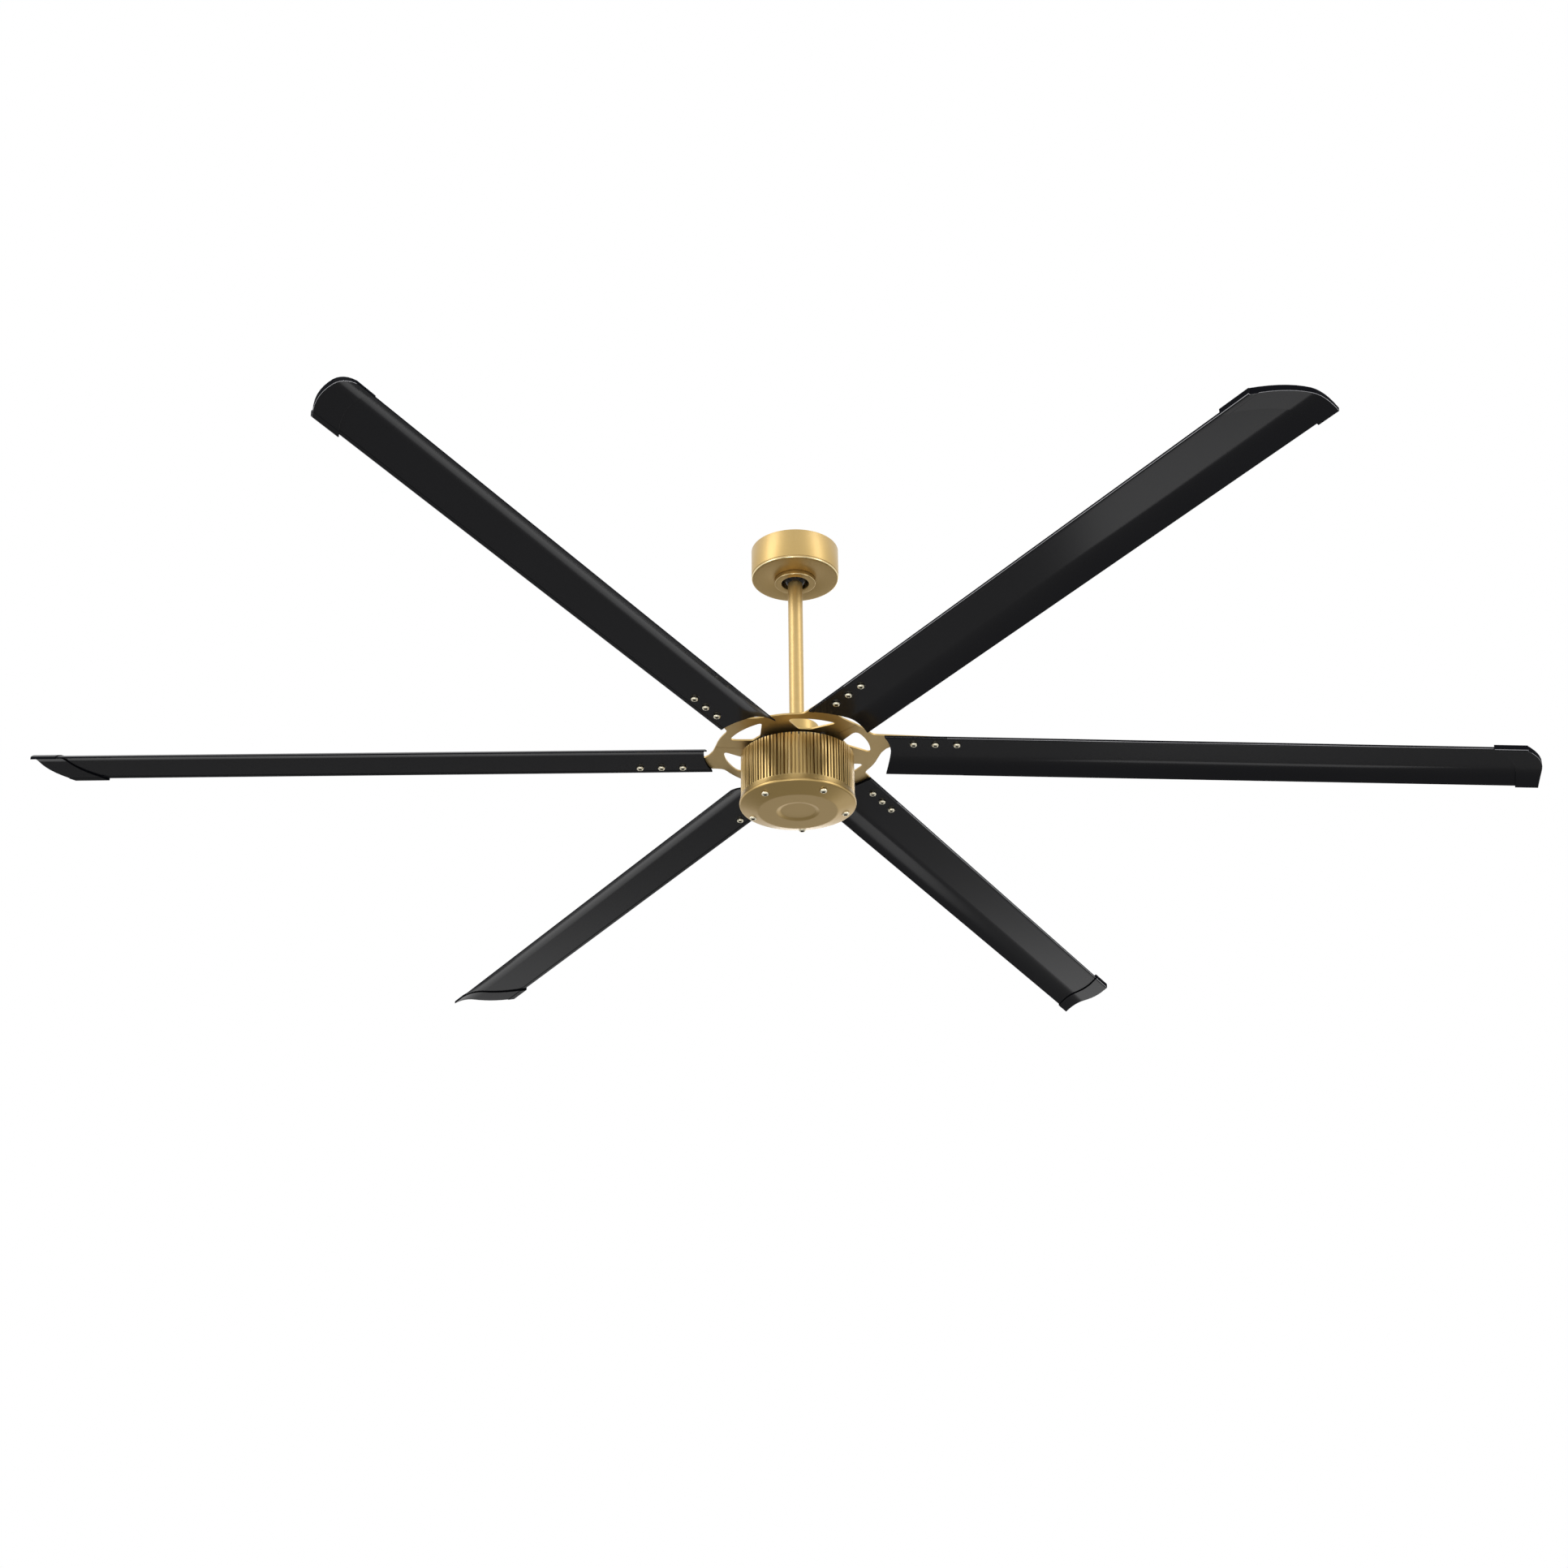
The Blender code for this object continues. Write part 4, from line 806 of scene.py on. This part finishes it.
bpy.ops.object.mode_set(mode="OBJECT")
print("bottom cap closed")

# %% Bolt pockets
bolt_count = 5
bolt_names = [f"motor_bolt_{number}" for number in range(1, bolt_count + 1)]
pocket_radius, pocket_turn = 0.0065, 44
bolt_hole_radius, bolt_hole_reach = 0.0028, 0.06
bolt_head_height = 0.0040
cutter_reach = 0.02


def middle_of(node):
    """The middle of a node's box."""
    low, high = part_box(node)
    return (low + high) / 2


for name in bolt_names:
    middle = middle_of(name)
    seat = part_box(name)[0].z + bolt_head_height + seat_clearance
    bpy.ops.object.select_all(action="DESELECT")
    bpy.ops.mesh.primitive_cylinder_add(vertices=pocket_turn, radius=pocket_radius, depth=cutter_reach,
                                        location=(middle.x, middle.y, seat - cutter_reach / 2))
    cut_away(cap, bpy.context.object)
    bpy.ops.object.select_all(action="DESELECT")
    bpy.ops.mesh.primitive_cylinder_add(vertices=pin_turn, radius=bolt_hole_radius,
                                        depth=bolt_hole_reach, location=(middle.x, middle.y, seat))
    cut_away(cap, bpy.context.object)
hand_over(cap, "rotor", ["bottom_cap"], "turned gold", smooth=32, flat=True)

# %% [markdown]
# ## Hub plate
#
# Six arms and six teardrop windows are cut from one 3 mm sheet. A merged copy of the solid keeps
# the outline and the slight droop of the arms; the bevel gives the bright line that runs along
# every cut edge of the real sheet. Two fine creases, seen on the left and the right of the
# photograph, are cut into its lower face.

# %% Hub plate
crease_angles = (-172.0, -47.4)
crease_width, crease_depth = 0.0007, 0.0005
crease_start, crease_end = 0.090, 0.145

plate = copy_node("hub_plate", "hub_plate_sheet")
round_edges(plate, plate_rounding)
plate_foot = sizes("motor_top_cover")[2] + seat_clearance
reach = (crease_start + crease_end) / 2
for degrees in crease_angles:
    angle = math.radians(degrees)
    bpy.ops.object.select_all(action="DESELECT")
    bpy.ops.mesh.primitive_cube_add(size=1, location=(reach * math.cos(angle), reach * math.sin(angle),
                                    plate_foot), rotation=(0, 0, angle))
    cutter = bpy.context.object
    cutter.scale = (crease_end - crease_start, crease_width, crease_depth * 2)
    cut_away(plate, cutter)
hand_over(plate, "rotor", ["hub_plate"], "gold", flat=True)

# %% [markdown]
# ## Blades and end caps
#
# All blades come from the same extrusion, so one is finished and then copied round the hub, each
# copy with its own mesh. Its long faces are cut across between the screw holes, because the shading
# of one very long face with round holes in it would be uneven. The end cap is a moulded sock that
# slips over the blade's end. The narrow rounded faces along the lower leading edge and the end take
# a lighter finish, a painted highlight that draws a thin light line along those edges.

# %% Blade helpers
blade_count = 6
blade_turn = math.tau / blade_count
highlight_width = 0.0008
highlight_steepest, highlight_flattest = -0.3, -0.93
highlight_outward, highlight_inward = 0.25, -0.3


def turn_copy(piece, name, angle):
    """A copy with its own mesh, turned about the fan's axis."""
    copy = piece.copy()
    copy.data = piece.data.copy()
    copy.name = name
    bpy.context.scene.collection.objects.link(copy)
    copy.rotation_mode = "XYZ"
    copy.rotation_euler = Euler((0, 0, angle))
    take(copy)
    bpy.ops.object.transform_apply(rotation=True)
    return copy


def split_blade(piece, places):
    """Cuts the long faces of a blade across, halfway between its screw holes and beyond them."""
    step = places[1] - places[0]
    take(piece)
    bpy.ops.object.mode_set(mode="EDIT")
    for place in [places[0] - step / 2] + [each + step / 2 for each in places]:
        bpy.ops.mesh.select_all(action="SELECT")
        bpy.ops.mesh.bisect(plane_co=(place, 0, 0), plane_no=(1, 0, 0))
    bpy.ops.mesh.select_all(action="SELECT")
    bpy.ops.mesh.normals_make_consistent(inside=False)
    bpy.ops.object.mode_set(mode="OBJECT")


def edge_highlight_faces(piece):
    """The narrow rounded faces along the lower leading and end edges of the first blade."""
    chosen = []
    for face in piece.data.polygons:
        corners = [piece.data.vertices[index].co for index in face.vertices]
        longest = max((b - a).length for a, b in zip(corners, corners[1:] + corners[:1]))
        narrow = face.area < longest * highlight_width
        sloping = highlight_flattest < face.normal.z < highlight_steepest
        outer = max(face.normal.x, -face.normal.y) > highlight_outward and face.normal.x > highlight_inward
        if narrow and sloping and outer:
            chosen.append(face.index)
    return chosen


def paint_edge_highlight(piece, faces):
    """Gives the listed faces a lighter finish, a painted highlight along the edge."""
    piece.data.materials.append(finishes["edge highlight"])
    for index in faces:
        piece.data.polygons[index].material_index = 1


# %% Blades and end caps
dimple_radius, dimple_depth, dimple_turn = 0.0073, 0.0007, 40
screw_height = 0.0042
blade_rounding, end_cap_rounding = 0.0005, 0.0007
flat_limit = 0.03
screw_places = []
blade = copy_node("blade_1", "blade_pattern", flat_within=flat_limit)
for name in ("blade_screw_1_1", "blade_screw_1_2", "blade_screw_1_3"):
    middle = middle_of(name)
    screw_places.append(middle.x)
    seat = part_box(name)[0].z + screw_height + seat_clearance
    bpy.ops.object.select_all(action="DESELECT")
    bpy.ops.mesh.primitive_cylinder_add(vertices=dimple_turn, radius=dimple_radius, depth=cutter_reach,
                                        location=(middle.x, middle.y,
                                                  seat + dimple_depth - cutter_reach / 2))
    cut_away(blade, bpy.context.object)
split_blade(blade, screw_places)
round_edges(blade, blade_rounding)
end_cap = copy_node("blade_cap_1", "end_cap_pattern", flat_within=flat_limit)
round_edges(end_cap, end_cap_rounding)
# The narrow lower edge faces take a painted highlight.
edge_highlights = {piece.name: edge_highlight_faces(piece) for piece in (blade, end_cap)}
for number in range(1, blade_count + 1):
    angle = blade_turn * (number - 1)
    dressed_blade = turn_copy(blade, f"blade_{number}_coated", angle)
    hand_over(dressed_blade, "rotor", [f"blade_{number}"], "blade", flat=True)
    paint_edge_highlight(dressed_blade, edge_highlights[blade.name])
    dressed_cap = turn_copy(end_cap, f"end_cap_{number}_moulded", angle)
    hand_over(dressed_cap, "rotor", [f"blade_cap_{number}"], "end cap", flat=True)
    paint_edge_highlight(dressed_cap, edge_highlights[end_cap.name])
print("edge highlight faces", {name: len(faces) for name, faces in edge_highlights.items()})
bpy.data.objects.remove(blade, do_unlink=True)
bpy.data.objects.remove(end_cap, do_unlink=True)

# %% [markdown]
# ## Screws and bolts
#
# Each fastener has a domed head, flat in the middle, with a six-lobed star recess. One is turned
# from a profile, its last ring is drawn in between the lobes and pushed into the head, and the
# finished screw is copied to each place that its solid names. The recess gets a darker finish,
# because little light reaches the plating in it.

# %% One screw
star_turn, star_lobes = 24, 6
lobe_reach, slope_reach, valley_reach = 1.0, 0.88, 0.68
head_wall, head_flat, head_seat, star_share, recess_share = 0.22, 0.68, 0.97, 0.60, 0.6
dome_steps = 8
shank_tip, shank_taper = 0.8, 0.2


def make_screw(name, head_radius, head_height, shank_radius, length):
    """A screw with its head down and its bearing face at height zero."""
    profile = [(shank_radius * shank_tip, length), (shank_radius, length - shank_radius * shank_taper),
               (shank_radius, 0), (head_radius * head_seat, 0), (head_radius, -head_height * head_wall)]
    for step in range(1, dome_steps + 1):
        angle = math.radians(90 * step / dome_steps)
        width = head_radius * (head_flat + (1 - head_flat) * math.cos(angle))
        profile.append((width, -head_height * (head_wall + (1 - head_wall) * math.sin(angle))))
    profile.append((head_radius * star_share, -head_height))
    screw = turn_piece(name, profile, star_turn, closed=False, pole=False)
    select_rings(screw, profile[-1])
    for vertex in screw.data.vertices:
        if vertex.select:
            lobe = math.cos(star_lobes * math.atan2(vertex.co.y, vertex.co.x))
            reach = lobe_reach if lobe > 0.5 else (slope_reach if lobe > -0.5 else valley_reach)
            vertex.co.x, vertex.co.y = vertex.co.x * reach, vertex.co.y * reach
    take(screw)
    bpy.ops.object.mode_set(mode="EDIT")
    bpy.ops.mesh.select_mode(type="EDGE")
    depth = head_height * recess_share
    bpy.ops.mesh.extrude_edges_move(TRANSFORM_OT_translate={"value": (0, 0, depth)})
    bpy.ops.mesh.edge_face_add()
    bpy.ops.object.mode_set(mode="OBJECT")
    select_rings(screw, profile[0])
    bpy.ops.object.mode_set(mode="EDIT")
    bpy.ops.mesh.edge_face_add()
    bpy.ops.mesh.select_all(action="SELECT")
    bpy.ops.mesh.normals_make_consistent(inside=False)
    bpy.ops.mesh.select_mode(type="VERT")
    bpy.ops.object.mode_set(mode="OBJECT")
    return screw


def place_screws(pattern, places, head_radius, head_height):
    """Copies a screw to where the named solids are."""
    for name in places:
        foot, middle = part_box(name)[0].z, middle_of(name)
        copy = pattern.copy()
        copy.data = pattern.data.copy()
        copy.name = f"{name}_star"
        bpy.context.scene.collection.objects.link(copy)
        copy.location = (middle.x, middle.y, foot + head_height)
        take(copy)
        bpy.ops.object.transform_apply(location=True)
        hand_over(copy, "rotor", [name], "screw", smooth=40)
        copy.data.materials.append(finishes["recess"])
        for face in copy.data.polygons:
            inside = (face.center.xy - middle.xy).length < head_radius * star_share
            within_head = foot + 10 * hair < face.center.z < foot + head_height
            face.material_index = int(inside and within_head)
    bpy.data.objects.remove(pattern, do_unlink=True)


# %% All screws
screw_head, screw_shank = 0.0060, 0.0022
screws_each = len(screw_places)
screw_names = [f"blade_screw_{blade_number}_{screw_number}" for blade_number in range(1, blade_count + 1)
               for screw_number in range(1, screws_each + 1)]
low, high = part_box("blade_screw_1_1")
pattern = make_screw("screw_pattern", screw_head, screw_height, screw_shank, high.z - low.z - screw_height)
place_screws(pattern, screw_names, screw_head, screw_height)

bolt_head, bolt_shank = 0.0062, 0.0025
low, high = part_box("motor_bolt_1")
pattern = make_screw("bolt_pattern", bolt_head, bolt_head_height, bolt_shank,
                     high.z - low.z - bolt_head_height)
place_screws(pattern, bolt_names, bolt_head, bolt_head_height)

# %% [markdown]
# ## Pieces that hardly show
#
# The bracket and the driver box lie in the open top of the canopy, and two screws hold the canopy
# to the bracket. The pins and the coupler sit in the ball, the rod and the coupling cover, and the
# rest is inside the motor. The bracket and the box get rounded edges. The others keep their
# solids, and only their finish is replaced, through the material slots of their objects.

# %% Bracket and driver box
bracket = copy_node("ceiling_bracket", "ceiling_bracket_folded")
round_edges(bracket, plate_rounding)
hand_over(bracket, "ceiling_mount", ["ceiling_bracket"], "bracket", flat=True)

case_rounding = 0.0008
lid_height, seam_width, seam_depth = 0.0060, 0.0005, 0.0005


def cut_seam(piece, height, width, depth):
    """A level groove round the sides of a box, where its lid meets its tray."""
    take(piece)
    bpy.ops.object.mode_set(mode="EDIT")
    for cut in (height, height + width):
        bpy.ops.mesh.select_all(action="SELECT")
        bpy.ops.mesh.bisect(plane_co=(0, 0, cut), plane_no=(0, 0, 1))
    bpy.ops.mesh.select_all(action="DESELECT")
    bpy.ops.object.mode_set(mode="OBJECT")
    for face in piece.data.polygons:
        face.select = height < face.center.z < height + width
    bpy.ops.object.mode_set(mode="EDIT")
    bpy.ops.mesh.select_mode(type="FACE")
    bpy.ops.mesh.extrude_region_shrink_fatten(TRANSFORM_OT_shrink_fatten={"value": -depth})
    bpy.ops.mesh.select_mode(type="VERT")
    bpy.ops.object.mode_set(mode="OBJECT")


driver = copy_node("driver_box", "driver_box_case")
round_edges(driver, case_rounding, segments=3)
cut_seam(driver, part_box("driver_box")[1].z - lid_height, seam_width, seam_depth)
hand_over(driver, "ceiling_mount", ["driver_box"], "driver", flat=True)

# %% Kept solids
kept = {
    "canopy_screw_1": "steel", "canopy_screw_2": "steel", "hanger_pin": "steel", "coupling_pin": "steel",
    "motor_coupler": "bracket", "motor_shaft": "steel", "shaft_nut": "steel", "stator_core": "core",
    "stator_winding": "copper", "upper_bearing_inner": "steel", "lower_bearing_inner": "steel",
    "upper_bearing_outer": "steel", "lower_bearing_outer": "steel", "magnet_ring": "magnet",
}
for name, finish in kept.items():
    for material_slot in nodes[name].material_slots:
        material_slot.link = "OBJECT"
        material_slot.material = finishes[finish]
print("kept solids", len(kept))
